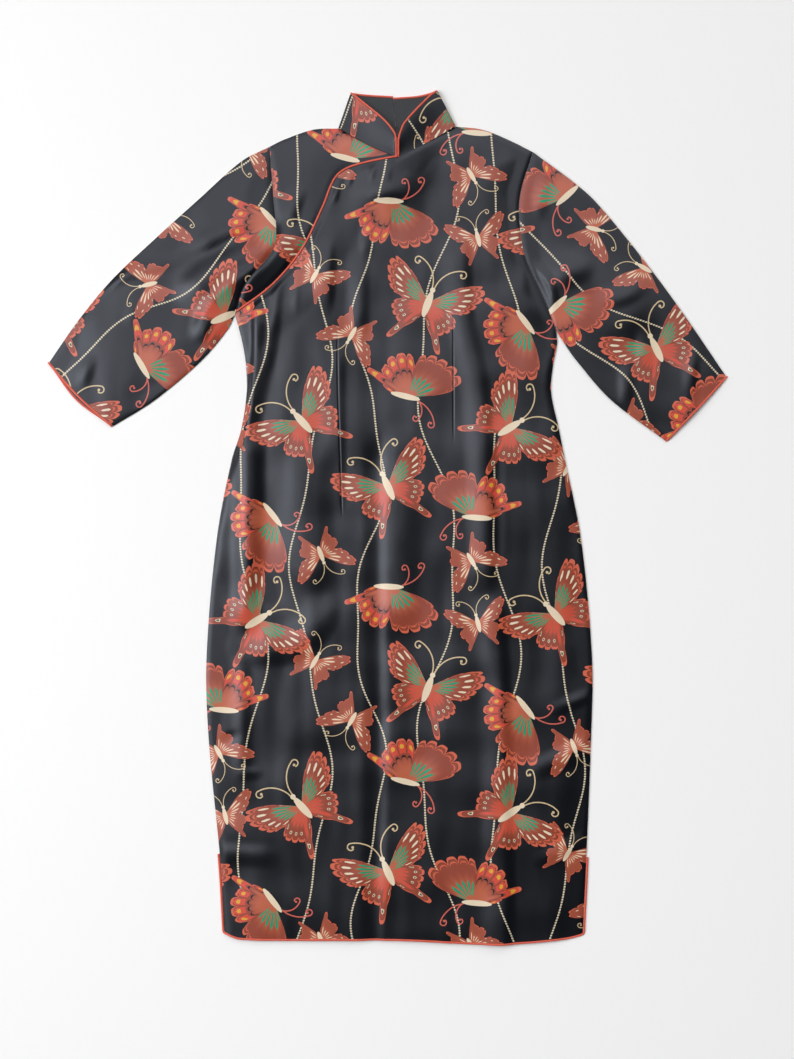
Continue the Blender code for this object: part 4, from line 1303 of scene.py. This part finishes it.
for side_name in ("left", "right"):
    ring = fine_line(cuff_rings[side_name], True)
    hub = ring.mean(axis=0)
    inward = np.array((*place(0.0, CHEST_UP), hub[2])) - hub
    sleeve_way = -inward / np.linalg.norm(inward)
    way = directions(ring, closed=True)
    sideways = unit_length(sleeve_way - (way @ sleeve_way)[:, None] * way)
    up = np.cross(way, sideways)
    name = "cuff_piping_" + side_name
    ring[:, 2] = np.maximum(ring[:, 2], CUFF_THICK / 2)
    pipings[name] = piping(name, ring, sideways, up, CUFF_THICK, closed=True)

    outer, inner = collar_edges[side_name]
    route = np.vstack(((outer[-1] + inner[-1]) / 2, (outer[-2::-1, -1] + inner[-2::-1, -1]) / 2))
    facing = np.vstack((outer[-1] - inner[-1], outer[-2::-1, -1] - inner[-2::-1, -1]))
    count = len(fine_line(route, False)) - 1
    edge = evenly(route, count)
    normal = unit_length(evenly(np.hstack((route, facing)), count)[:, 3:])
    sideways = unit_length(np.cross(normal, directions(edge)) * (1 if side_name == "left" else -1))
    name = "collar_piping_" + side_name
    pipings[name] = piping(name, edge, sideways, normal, COLLAR_PIPING_THICK)
print("pipings", sorted(pipings))

# %% [markdown]
# Shaders read best as small steps.  The helper below adds one node for each step and hands
# back its output, so a pattern can be written almost like a sum on paper.  The commonest
# steps have short names of their own: plus, minus, times, over, above and below.

# %% Shader helper
def srgb(red, green, blue):
    """A colour named by its 0 to 255 screen values, as the linear values that shaders use."""
    linear = []
    for value in (red, green, blue):
        share = value / 255
        linear.append(share / 12.92 if share <= 0.04045 else ((share + 0.055) / 1.055) ** 2.4)
    return (*linear, 1.0)


MIX_BELOW, MIX_ABOVE, MIX_RESULT = 6, 7, 2


class Wiring:
    """Adds nodes to one node tree; each call gives back the new node's output."""

    def __init__(self, tree):
        self.tree = tree

    def feed(self, value, socket):
        """Link an output to a socket, or set the socket to a plain value."""
        if isinstance(value, bpy.types.NodeSocket):
            self.tree.links.new(value, socket)
        else:
            socket.default_value = value

    def math(self, operation, *values):
        node = self.tree.nodes.new("ShaderNodeMath")
        node.operation = operation
        for value, socket in zip(values, node.inputs):
            self.feed(value, socket)
        return node.outputs[0]

    def plus(self, one, other):
        return self.math("ADD", one, other)

    def minus(self, one, other):
        return self.math("SUBTRACT", one, other)

    def times(self, one, other):
        return self.math("MULTIPLY", one, other)

    def over(self, one, other):
        return self.math("DIVIDE", one, other)

    def above(self, value, limit):
        return self.math("GREATER_THAN", value, limit)

    def below(self, value, limit):
        return self.math("LESS_THAN", value, limit)

    def split(self, vector):
        """The first two parts of a vector."""
        node = self.tree.nodes.new("ShaderNodeSeparateXYZ")
        self.feed(vector, node.inputs[0])
        return node.outputs[0], node.outputs[1]

    def ramp(self, value, low, high):
        """A smooth step from 0 at the low value to 1 at the high one."""
        node = self.tree.nodes.new("ShaderNodeMapRange")
        node.interpolation_type = "SMOOTHSTEP"
        self.feed(value, node.inputs["Value"])
        node.inputs["From Min"].default_value = low
        node.inputs["From Max"].default_value = high
        return node.outputs["Result"]

    def curve(self, value, points):
        """A curve through points, each a pair from 0 to 1, read at a value."""
        node = self.tree.nodes.new("ShaderNodeFloatCurve")
        curve = node.mapping.curves[0]
        for _ in range(len(points) - 2):
            curve.points.new(0.5, 0.5)
        for point, (x, y) in zip(curve.points, points):
            point.location = (x, y)
            point.handle_type = "AUTO_CLAMPED"
        node.mapping.update()
        self.feed(value, node.inputs["Value"])
        return node.outputs[0]

    def blend(self, mask, below, above):
        """One colour laid over another where the mask is 1."""
        node = self.tree.nodes.new("ShaderNodeMix")
        node.data_type = "RGBA"
        self.feed(mask, node.inputs[0])
        self.feed(below, node.inputs[MIX_BELOW])
        self.feed(above, node.inputs[MIX_ABOVE])
        return node.outputs[MIX_RESULT]

    def within(self, value, low, high):
        """1 where a value lies between two limits."""
        return self.times(self.above(value, low), self.below(value, high))

    def far(self, x, y, from_x, from_y):
        """The distance of a place from a point."""
        dx = self.minus(x, from_x)
        dy = self.minus(y, from_y)
        return self.math("SQRT", self.plus(self.times(dx, dx), self.times(dy, dy)))

    def either(self, *masks):
        """1 where any of the masks is 1."""
        total = masks[0]
        for mask in masks[1:]:
            total = self.math("MAXIMUM", total, mask)
        return total


def new_group(name, inputs, outputs):
    """A shader node group with named sockets, and the wiring to fill it."""
    group = bpy.data.node_groups.new(name, "ShaderNodeTree")
    for socket_name, kind in inputs:
        group.interface.new_socket(name=socket_name, in_out="INPUT", socket_type=kind)
    for socket_name, kind in outputs:
        group.interface.new_socket(name=socket_name, in_out="OUTPUT", socket_type=kind)
    inside = group.nodes.new("NodeGroupInput")
    result = group.nodes.new("NodeGroupOutput")
    return group, Wiring(group), inside.outputs, result.inputs


print("shader helper ready")

# %% [markdown]
# A butterfly is drawn in polar steps.  Seen from the wing's root, its outline is a reach
# for every direction, which one curve holds.  Dividing a point's distance by that reach
# gives a number that is 0 at the root and 1 at the edge, so spots, fans and borders follow
# the outline by themselves.  The directions are cut into cells between veins, and a mark
# such as a teardrop says how wide it is in its cell at each distance from the root.

# %% Inks and wings
INK = {
    "brick": srgb(186, 97, 69),
    "umber": srgb(144, 66, 46),
    "russet": srgb(158, 78, 56),
    "coral": srgb(206, 98, 70),
    "red": srgb(206, 74, 56),
    "green": srgb(28, 148, 108),
    "cream": srgb(228, 209, 180),
    "yellow": srgb(216, 162, 52),
    "olive": srgb(84, 96, 62),
    "dark": srgb(24, 16, 20),
    "tan": srgb(206, 182, 142),
    "rose": srgb(200, 96, 82),
    "bead": srgb(212, 198, 170),
}
Mark = namedtuple("Mark", "name wing ink start full_from full_to end width")
Drawing = namedtuple(
    "Drawing", "name mirrored wing shade edge edge_from scallop outline split fore_cell hind_cell marks",
)

OPEN_WINGS = Drawing(
    "open", True, "brick", "umber", "coral", 0.925, 0.10,
    (
        (0.000, 0.00), (0.222, 0.00), (0.250, 0.46), (0.286, 0.84), (0.316, 0.97), (0.350, 0.96),
        (0.400, 0.86), (0.456, 0.75), (0.511, 0.62), (0.548, 0.46), (0.580, 0.55), (0.633, 0.62),
        (0.700, 0.62), (0.767, 0.60), (0.802, 0.66), (0.826, 0.90), (0.842, 0.88), (0.864, 0.58),
        (0.911, 0.38), (0.956, 0.22), (0.983, 0.00), (1.000, 0.00),
    ),
    0.548, 0.0466, 0.0620,
    (
        Mark("outer arc", "fore", "coral", 0.84, 0.85, 0.87, 0.88, 0.72),
        Mark("wing tip drop", "fore", "cream", 0.61, 0.69, 0.77, 0.82, 0.36),
        Mark("ringed spot", "hind", "cream", 0.70, 0.74, 0.78, 0.82, 0.40),
        Mark("spot", "hind", "olive", 0.72, 0.75, 0.77, 0.80, 0.24),
        Mark("green fan", "fore", "green", 0.16, 0.30, 0.46, 0.58, 0.62),
        Mark("red fan", "hind", "red", 0.14, 0.26, 0.48, 0.62, 0.60),
    ),
)
SIDE_WINGS = Drawing(
    "side", False, "brick", "umber", "coral", 0.945, 0.13,
    (
        (0.000, 0.00), (0.344, 0.00), (0.358, 0.42), (0.376, 0.84), (0.394, 0.98), (0.418, 1.00),
        (0.458, 0.95), (0.500, 0.89), (0.533, 0.83), (0.556, 0.75), (0.568, 0.63), (0.583, 0.72),
        (0.617, 0.80), (0.656, 0.80), (0.692, 0.76), (0.722, 0.70), (0.740, 0.74), (0.750, 0.90),
        (0.756, 0.90), (0.766, 0.70), (0.778, 0.54), (0.803, 0.36), (0.828, 0.14), (0.842, 0.00),
        (1.000, 0.00),
    ),
    0.568, 0.0372, 0.0412,
    (
        Mark("outer arc", "fore", "coral", 0.86, 0.87, 0.885, 0.895, 0.76),
        Mark("green fan", "fore", "green", 0.13, 0.21, 0.40, 0.52, 0.56),
        Mark("crescent", "hind", "dark", 0.575, 0.59, 0.615, 0.63, 0.93),
        Mark("red lobe", "hind", "red", 0.66, 0.70, 0.90, 0.96, 0.78),
        Mark("yellow eye", "hind", "yellow", 0.77, 0.80, 0.85, 0.89, 0.42),
    ),
)
SMALL_WINGS = Drawing(
    "small", True, "brick", "russet", "coral", 0.955, 0.09,
    (
        (0.000, 0.00), (0.222, 0.00), (0.254, 0.50), (0.289, 0.86), (0.322, 0.98), (0.366, 0.88),
        (0.433, 0.70), (0.500, 0.56), (0.542, 0.43), (0.578, 0.52), (0.644, 0.60), (0.722, 0.58),
        (0.790, 0.62), (0.828, 0.80), (0.858, 0.58), (0.911, 0.32), (0.956, 0.16), (0.978, 0.00),
        (1.000, 0.00),
    ),
    0.542, 0.0730, 0.0870,
    (
        Mark("pale ray", "fore", "cream", 0.20, 0.36, 0.50, 0.62, 0.42),
        Mark("hind ray", "hind", "cream", 0.20, 0.34, 0.44, 0.54, 0.30),
        Mark("rim dot", "fore", "cream", 0.77, 0.80, 0.82, 0.85, 0.24),
    ),
)
print("marks on the wings", [len(wings.marks) for wings in (OPEN_WINGS, SIDE_WINGS, SMALL_WINGS)])

# %% [markdown]
# A butterfly's body is a slim oval.  Its feelers are part of a large ring that ends in part
# of a small one, with a drop inside the curl.

# %% Bodies and feelers
Body = namedtuple("Body", "middle long_half wide_half")
PAIR_BODY = Body(-0.03, 0.23, 0.062)
PAIR_HEAD_UP = 0.22
PAIR_HEAD_RADIUS = 0.045
SIDE_BODY = Body(0.06, 0.27, 0.052)
SIDE_BODY_TURN = 112

Feeler = namedtuple("Feeler", "start_x start_y radius curl thick sweep")
PAIR_FEELER = Feeler(0.020, 0.23, 0.46, 0.058, 0.0105, 78)
SIDE_FEELERS = {
    -78: Feeler(0.0, 0.18, 0.50, 0.055, 0.0115, 62),
    -104: Feeler(-0.088, 0.17, 0.26, 0.050, 0.0115, 84),
}
HOOK_BACK = 0.30
DROP_ACROSS = 0.42
DROP_DOWN = 0.30
DROP_RADIUS = 0.40


def draw_feeler(w, x, y, feeler):
    """A curved feeler with a curl at its end: part of a large ring, then of a small one."""
    curl = feeler.curl
    centre_x = feeler.start_x + feeler.radius
    end_angle = math.radians(180 - feeler.sweep)
    end_x = centre_x + feeler.radius * math.cos(end_angle)
    end_y = feeler.start_y + feeler.radius * math.sin(end_angle)
    ring = w.math("ABSOLUTE", w.minus(w.far(x, y, centre_x, feeler.start_y), feeler.radius))
    stem = w.times(w.below(ring, feeler.thick), w.below(x, end_x))
    stem = w.times(stem, w.above(y, feeler.start_y))
    curl_x = end_x - curl * math.cos(end_angle)
    curl_y = end_y - curl * math.sin(end_angle)
    small = w.math("ABSOLUTE", w.minus(w.far(x, y, curl_x, curl_y), curl))
    hook = w.times(w.below(small, feeler.thick), w.above(x, end_x - curl * HOOK_BACK))
    from_drop = w.far(x, y, curl_x - curl * DROP_ACROSS, curl_y - curl * DROP_DOWN)
    return w.either(stem, hook, w.below(from_drop, curl * DROP_RADIUS))


def draw_body(w, x, y, body):
    """A mask of the body, an upright oval."""
    along = w.over(w.minus(y, body.middle), body.long_half)
    return w.below(w.far(w.over(x, body.wide_half), along, 0.0, 0.0), 1.0)


def turned(w, x, y, degrees):
    """The same place, read along axes that are turned clockwise."""
    c, s = math.cos(math.radians(degrees)), math.sin(math.radians(degrees))
    along = w.plus(w.times(x, s), w.times(y, c))
    aside = w.minus(w.times(x, c), w.times(y, s))
    return aside, along


print("feelers", 1 + len(SIDE_FEELERS), "shapes")

# %% [markdown]
# One group draws a whole butterfly.  The wings come first, from the ground colour out to the
# border, then the marks, and at last the feelers and the body, which lie on top.

# %% Butterflies
WING_SHADE = (0.30, 0.72)
RIM_INK = 0.45
RIM_WIDTH = 0.015
LEAST_REACH = 0.001
CELLS_BEFORE = 40.0
SCALLOP_POWER = 4.0
MARK_BEND = 0.035


def draw_butterfly(drawing):
    """A group that draws one butterfly from a place in its own upright frame."""
    group, w, given, result = new_group(
        "butterfly_" + drawing.name,
        (("Place", "NodeSocketVector"),),
        (("Color", "NodeSocketColor"), ("Mask", "NodeSocketFloat")),
    )
    x, y = w.split(given["Place"])
    side = w.math("ABSOLUTE", x) if drawing.mirrored else x
    angle = w.over(w.math("ARCTAN2", side, y), math.pi)
    way = angle if drawing.mirrored else w.plus(w.times(angle, 0.5), 0.5)
    far = w.far(side, y, 0.0, 0.0)
    reach = w.curve(way, drawing.outline)

    hind = w.above(way, drawing.split)
    from_split = w.minus(way, drawing.split)
    cell = w.plus(drawing.fore_cell, w.times(hind, drawing.hind_cell - drawing.fore_cell))
    steps = w.math("FRACT", w.plus(w.over(from_split, cell), CELLS_BEFORE))
    aside = w.times(w.math("ABSOLUTE", w.minus(steps, 0.5)), 2.0)
    dip = w.minus(1.0, w.times(w.math("POWER", aside, SCALLOP_POWER), drawing.scallop))
    rho = w.over(far, w.math("MAXIMUM", w.times(reach, dip), LEAST_REACH))
    wing = w.below(rho, 1.0)
    bent = w.plus(rho, w.times(w.times(aside, aside), MARK_BEND))

    color = w.blend(w.ramp(rho, *WING_SHADE), INK[drawing.wing], INK[drawing.shade])
    color = w.blend(w.above(rho, drawing.edge_from), color, INK[drawing.edge])
    rim = w.within(rho, drawing.edge_from - RIM_WIDTH, drawing.edge_from)
    color = w.blend(w.times(rim, RIM_INK), color, INK["dark"])
    for mark in drawing.marks:
        profile = (
            (0.0, 0.0), (mark.start, 0.0), (mark.full_from, mark.width),
            (mark.full_to, mark.width), (mark.end, 0.0), (1.0, 0.0),
        )
        inside = w.below(aside, w.curve(bent, profile))
        if mark.wing == "fore":
            inside = w.times(inside, w.minus(1.0, hind))
        if mark.wing == "hind":
            inside = w.times(inside, hind)
        color = w.blend(inside, color, INK[mark.ink])

    if drawing.mirrored:
        head = w.below(w.far(side, y, 0.0, PAIR_HEAD_UP), PAIR_HEAD_RADIUS)
        body = w.either(draw_body(w, side, y, PAIR_BODY), head)
        feelers = draw_feeler(w, side, y, PAIR_FEELER)
    else:
        body = draw_body(w, *turned(w, x, y, SIDE_BODY_TURN), SIDE_BODY)
        drawn = []
        for turn, shape in SIDE_FEELERS.items():
            across, up = turned(w, x, y, turn)
            drawn.append(draw_feeler(w, w.times(across, -1.0), up, shape))
        feelers = w.either(*drawn)
    color = w.blend(feelers, color, INK["tan" if drawing.mirrored else "rose"])
    color = w.blend(body, color, INK["cream"])
    w.feed(color, result["Color"])
    w.feed(w.either(wing, body, feelers), result["Mask"])
    return group


butterfly_groups = {
    drawing.name: draw_butterfly(drawing) for drawing in (OPEN_WINGS, SIDE_WINGS, SMALL_WINGS)
}
print("butterfly nodes", {name: len(group.nodes) for name, group in butterfly_groups.items()})

# %% [markdown]
# Strings of small cream beads run down the cloth in slow waves, four to each repeat of the
# print.  A wave is two sines of the height, and the beads come from cutting the string into
# short equal steps and drawing one dot in each.

# %% Strings of beads
String = namedtuple("String", "across wave wave_length phase second second_length")
STRINGS = (
    String(0.026, 0.020, 0.400, 0.3, 0.005, 0.160),
    String(0.116, 0.026, 0.520, 2.1, 0.006, 0.190),
    String(0.204, 0.018, 0.440, 4.0, 0.006, 0.210),
    String(0.284, 0.024, 0.560, 5.2, 0.005, 0.180),
)
BEAD_PITCH = 0.0034
BEAD_RADIUS = 0.00135
BEADS_BEFORE = 50


def draw_strings():
    """A group that gives a mask of all the bead strings from a place on the cloth."""
    group, w, given, result = new_group(
        "bead_strings", (("Place", "NodeSocketVector"),), (("Mask", "NodeSocketFloat"),),
    )
    x, y = w.split(given["Place"])
    step = w.math("FRACT", w.over(w.plus(y, BEADS_BEFORE * BEAD_PITCH), BEAD_PITCH))
    along = w.times(w.minus(step, 0.5), BEAD_PITCH)
    masks = []
    for string in STRINGS:
        slow = w.plus(w.times(y, 2 * math.pi / string.wave_length), string.phase)
        slow = w.math("SINE", slow)
        quick = w.math("SINE", w.times(y, 2 * math.pi / string.second_length))
        bend = w.plus(w.times(slow, string.wave), w.times(quick, string.second))
        off = w.minus(w.minus(x, string.across), bend)
        wrapped = w.math("WRAP", off, REPEAT_WIDTH / 2, -REPEAT_WIDTH / 2)
        masks.append(w.below(w.far(wrapped, along, 0.0, 0.0), BEAD_RADIUS))
    w.feed(w.either(*masks), result["Mask"])
    return group


string_group = draw_strings()
print("string nodes", len(string_group.nodes))

# %% [markdown]
# Satin floats its threads over many others before it binds them, which is where its soft
# sheen comes from.  Up close that leaves fine lengthwise lines, and from a step away the
# cloth is a little uneven in gloss.  Both are fields that any cloth here can use, so they
# are one group: a height for the bump, and a share that varies the roughness.

# %% Weave
WARP_SHARE = 0.3
WEFT_SHARE = 0.2
STREAK_DETAIL = 3.0
STREAK_STRETCH = (900.0, 120.0, 1.0)
STREAK_SHARE = 0.4
CLOUD_SCALE = 26.0
CLOUD_DETAIL = 2.0
CLOUD_SHARE = 0.6


def draw_weave():
    """A group that gives a fine thread relief and a slow unevenness."""
    group, w, given, result = new_group(
        "weave",
        (("Place", "NodeSocketVector"), ("Threads", "NodeSocketFloat")),
        (("Height", "NodeSocketFloat"), ("Uneven", "NodeSocketFloat")),
    )
    x, y = w.split(given["Place"])
    warp = w.math("SINE", w.times(x, given["Threads"]))
    weft = w.math("SINE", w.times(y, given["Threads"]))
    woven = w.plus(w.times(warp, WARP_SHARE), w.times(weft, WEFT_SHARE))
    streaks = group.nodes.new("ShaderNodeTexNoise")
    streaks.inputs["Scale"].default_value = 1.0
    streaks.inputs["Detail"].default_value = STREAK_DETAIL
    stretch = group.nodes.new("ShaderNodeVectorMath")
    stretch.operation = "MULTIPLY"
    w.feed(given["Place"], stretch.inputs[0])
    stretch.inputs[1].default_value = STREAK_STRETCH
    w.feed(stretch.outputs[0], streaks.inputs["Vector"])
    clouds = group.nodes.new("ShaderNodeTexNoise")
    clouds.inputs["Scale"].default_value = CLOUD_SCALE
    clouds.inputs["Detail"].default_value = CLOUD_DETAIL
    w.feed(given["Place"], clouds.inputs["Vector"])
    w.feed(w.plus(woven, streaks.outputs["Fac"]), result["Height"])
    cloudy = w.times(clouds.outputs["Fac"], CLOUD_SHARE)
    w.feed(w.plus(cloudy, w.times(streaks.outputs["Fac"], STREAK_SHARE)), result["Uneven"])
    return group


weave_group = draw_weave()


def use_group(tree, group, **values):
    """Place a group in a material and feed its inputs by name."""
    node = tree.nodes.new("ShaderNodeGroup")
    node.node_tree = group
    for name, value in values.items():
        if isinstance(value, bpy.types.NodeSocket):
            tree.links.new(value, node.inputs[name])
        else:
            node.inputs[name].default_value = value
    return node.outputs


def worn_map(tree, name):
    """The output of one of the piece's own maps."""
    node = tree.nodes.new("ShaderNodeUVMap")
    node.uv_map = name
    return node.outputs[0]


THREADS = 2 * math.pi / 0.00045
COARSE_THREADS = THREADS / 1.4
SHEEN_ROUGHNESS = 0.4
WEAVE_STRENGTH = 0.6


def cloth_material(name, roughness, spread, sheen, tint, relief, threads):
    """A cloth shader with a weave; its colour is wired in afterwards."""
    material = bpy.data.materials.new(name)
    material.use_nodes = True
    tree = material.node_tree
    shader = tree.nodes["Principled BSDF"]
    shader.inputs["Sheen Weight"].default_value = sheen
    shader.inputs["Sheen Roughness"].default_value = SHEEN_ROUGHNESS
    shader.inputs["Sheen Tint"].default_value = tint
    w = Wiring(tree)
    woven = use_group(tree, weave_group, Place=worn_map(tree, "Cloth"), Threads=threads)
    uneven = w.times(woven["Uneven"], spread)
    w.feed(w.plus(roughness - spread / 2, uneven), shader.inputs["Roughness"])
    bump = tree.nodes.new("ShaderNodeBump")
    bump.inputs["Distance"].default_value = relief
    bump.inputs["Strength"].default_value = WEAVE_STRENGTH
    tree.links.new(woven["Height"], bump.inputs["Height"])
    tree.links.new(bump.outputs["Normal"], shader.inputs["Normal"])
    return material, w, shader


def uneven_color(w, dark, pale):
    """A cloth colour that wanders a little between two, as its gloss does."""
    woven = use_group(w.tree, weave_group, Place=worn_map(w.tree, "Cloth"), Threads=THREADS)
    return w.blend(woven["Uneven"], dark, pale)


print("threads a centimetre", round(THREADS / (2 * math.pi) / 100))

# %% [markdown]
# The satin puts its layers on in the order of a printer: ground, beads, then the three kinds
# of butterfly.  Last comes the groove of the darts, with painted shade that darkens it a little.

# %% Printed satin
DART_WIDTH = 0.0022
DART_DEPTH = 0.0006
DART_SHADE = 0.55
satin, w, shader = cloth_material(
    "printed_satin", roughness=0.31, spread=0.07, sheen=0.05, tint=(0.62, 0.74, 1.0, 1.0),
    relief=0.00006, threads=THREADS,
)
shader.inputs["Specular Tint"].default_value = (0.86, 0.90, 1.0, 1.0)
ground = uneven_color(w, srgb(9, 10, 14), srgb(15, 16, 21))
strings = use_group(w.tree, string_group, Place=worn_map(w.tree, "Cloth"))
color = w.blend(strings["Mask"], ground, INK["bead"])
for kind in ("small", "side", "open"):
    drawn = use_group(w.tree, butterfly_groups[kind], Place=worn_map(w.tree, kind.capitalize()))
    color = w.blend(drawn["Mask"], color, drawn["Color"])
dart_across, dart_here = w.split(worn_map(w.tree, "Dart"))
from_dart = w.math("ABSOLUTE", w.minus(dart_across, DART_MAP_MIDDLE))
from_dart = w.times(from_dart, DART_MAP_SPAN)
pinch = w.times(w.minus(1.0, w.ramp(from_dart, 0.0, DART_WIDTH)), dart_here)
groove = w.tree.nodes.new("ShaderNodeBump")
groove.inputs["Distance"].default_value = DART_DEPTH
groove.invert = True
w.feed(pinch, groove.inputs["Height"])
w.feed(shader.inputs["Normal"].links[0].from_socket, groove.inputs["Normal"])
w.feed(groove.outputs["Normal"], shader.inputs["Normal"])
# Painted shade: the colour darkens along the dart's groove, by DART_SHADE at most.
color = w.blend(w.times(pinch, DART_SHADE), color, INK["dark"])
w.feed(color, shader.inputs["Base Color"])
print("printed satin nodes", len(w.tree.nodes))

# %% [markdown]
# The lining and the piping are plain cloths of a coarser weave, so each is one colour that
# wanders a little.

# %% Lining and piping
lining, w, shader = cloth_material(
    "dark_lining", roughness=0.58, spread=0.12, sheen=0.08, tint=(0.8, 0.85, 1.0, 1.0),
    relief=0.00010, threads=COARSE_THREADS,
)
w.feed(uneven_color(w, srgb(30, 32, 36), srgb(40, 42, 46)), shader.inputs["Base Color"])

coral, w, shader = cloth_material(
    "coral_piping", roughness=0.46, spread=0.12, sheen=0.12, tint=(1.0, 0.8, 0.75, 1.0),
    relief=0.00010, threads=COARSE_THREADS,
)
w.feed(uneven_color(w, srgb(204, 78, 56), srgb(222, 96, 72)), shader.inputs["Base Color"])
print("materials", satin.name, lining.name, coral.name)

# %% [markdown]
# The floor is only a stage: plain, pale and matt.

# %% Floor
FLOOR_SIZE = 9.0
FLOOR_LEVEL = -0.0002
FLOOR_COLOR = srgb(248, 247, 245)
FLOOR_ROUGHNESS = 0.8
bpy.ops.mesh.primitive_plane_add(size=FLOOR_SIZE, location=(0.0, 0.0, FLOOR_LEVEL))
floor = bpy.context.object
floor.name = "floor"
floor_material = bpy.data.materials.new("pale_floor")
floor_material.use_nodes = True
floor_shader = floor_material.node_tree.nodes["Principled BSDF"]
floor_shader.inputs["Base Color"].default_value = FLOOR_COLOR
floor_shader.inputs["Roughness"].default_value = FLOOR_ROUGHNESS
floor.data.materials.append(floor_material)
floor.select_set(False)
print("floor", FLOOR_SIZE)

# %% [markdown]
# At last every shell takes its material, stands in for its solid and rides on the one body
# of the dress.

# %% Dress the model
Dressing = namedtuple("Dressing", "piece node slot material")
DRESSINGS = [
    Dressing(front_cloth, "front", "printed_satin", satin),
    Dressing(underlap_cloth, "front_underlap", "printed_satin", satin),
    Dressing(pipings["opening_piping"], "piping_opening", "coral_piping", coral),
    Dressing(pipings["hem_piping_front"], "piping_hem_front", "coral_piping", coral),
    Dressing(pipings["hem_piping_back"], "piping_hem_back", "coral_piping", coral),
]
for side_name in ("left", "right"):
    DRESSINGS += [
        Dressing(back_cloth[side_name], "back_" + side_name, "printed_satin", satin),
        Dressing(sleeve_cloth[side_name], "sleeve_" + side_name, "printed_satin", satin),
        Dressing(collar_cloth[side_name], "collar_" + side_name, "printed_satin", satin),
        Dressing(collar_lining[side_name], "collar_lining_" + side_name, "dark_lining", lining),
    ]
    for edge in ("collar", "cuff"):
        piped, node = pipings[edge + "_piping_" + side_name], "piping_" + edge + "_" + side_name
        DRESSINGS.append(Dressing(piped, node, "coral_piping", coral))
for dressing in DRESSINGS:
    dressing.piece.data.materials.append(dressing.material)
    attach(dressing.piece, "root")
    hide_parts(dressing.node)
print("dressed", len(DRESSINGS))

# %% [markdown]
# Each sheet is listed with what it rests on and the pieces that go with it, and the width,
# length and area of its flat cut, before any seam allowance, are printed.  The piping goes
# with the panel that it edges.

Sheet = namedtuple("Sheet", "piece rests_on with_pieces")
both_backs = [back_cloth["left"], back_cloth["right"]]
SHEETS = [
    Sheet(front_cloth, both_backs, [pipings["opening_piping"], pipings["hem_piping_front"]]),
    Sheet(underlap_cloth, both_backs, []),
    Sheet(back_cloth["left"], [floor], [pipings["hem_piping_back"]]),
    Sheet(back_cloth["right"], [floor], []),
]
for side_name in ("left", "right"):
    SHEETS += [
        Sheet(sleeve_cloth[side_name], [floor], [pipings["cuff_piping_" + side_name]]),
        Sheet(collar_cloth[side_name], [floor], [pipings["collar_piping_" + side_name]]),
        Sheet(collar_lining[side_name], [collar_cloth[side_name]], []),
    ]
for sheet in SHEETS:
    cut = cut_of[sheet.piece.name]
    measured = [round(value, 4) for value in cut]
    print(sheet.piece.name, "width, length and area of the cut", measured)
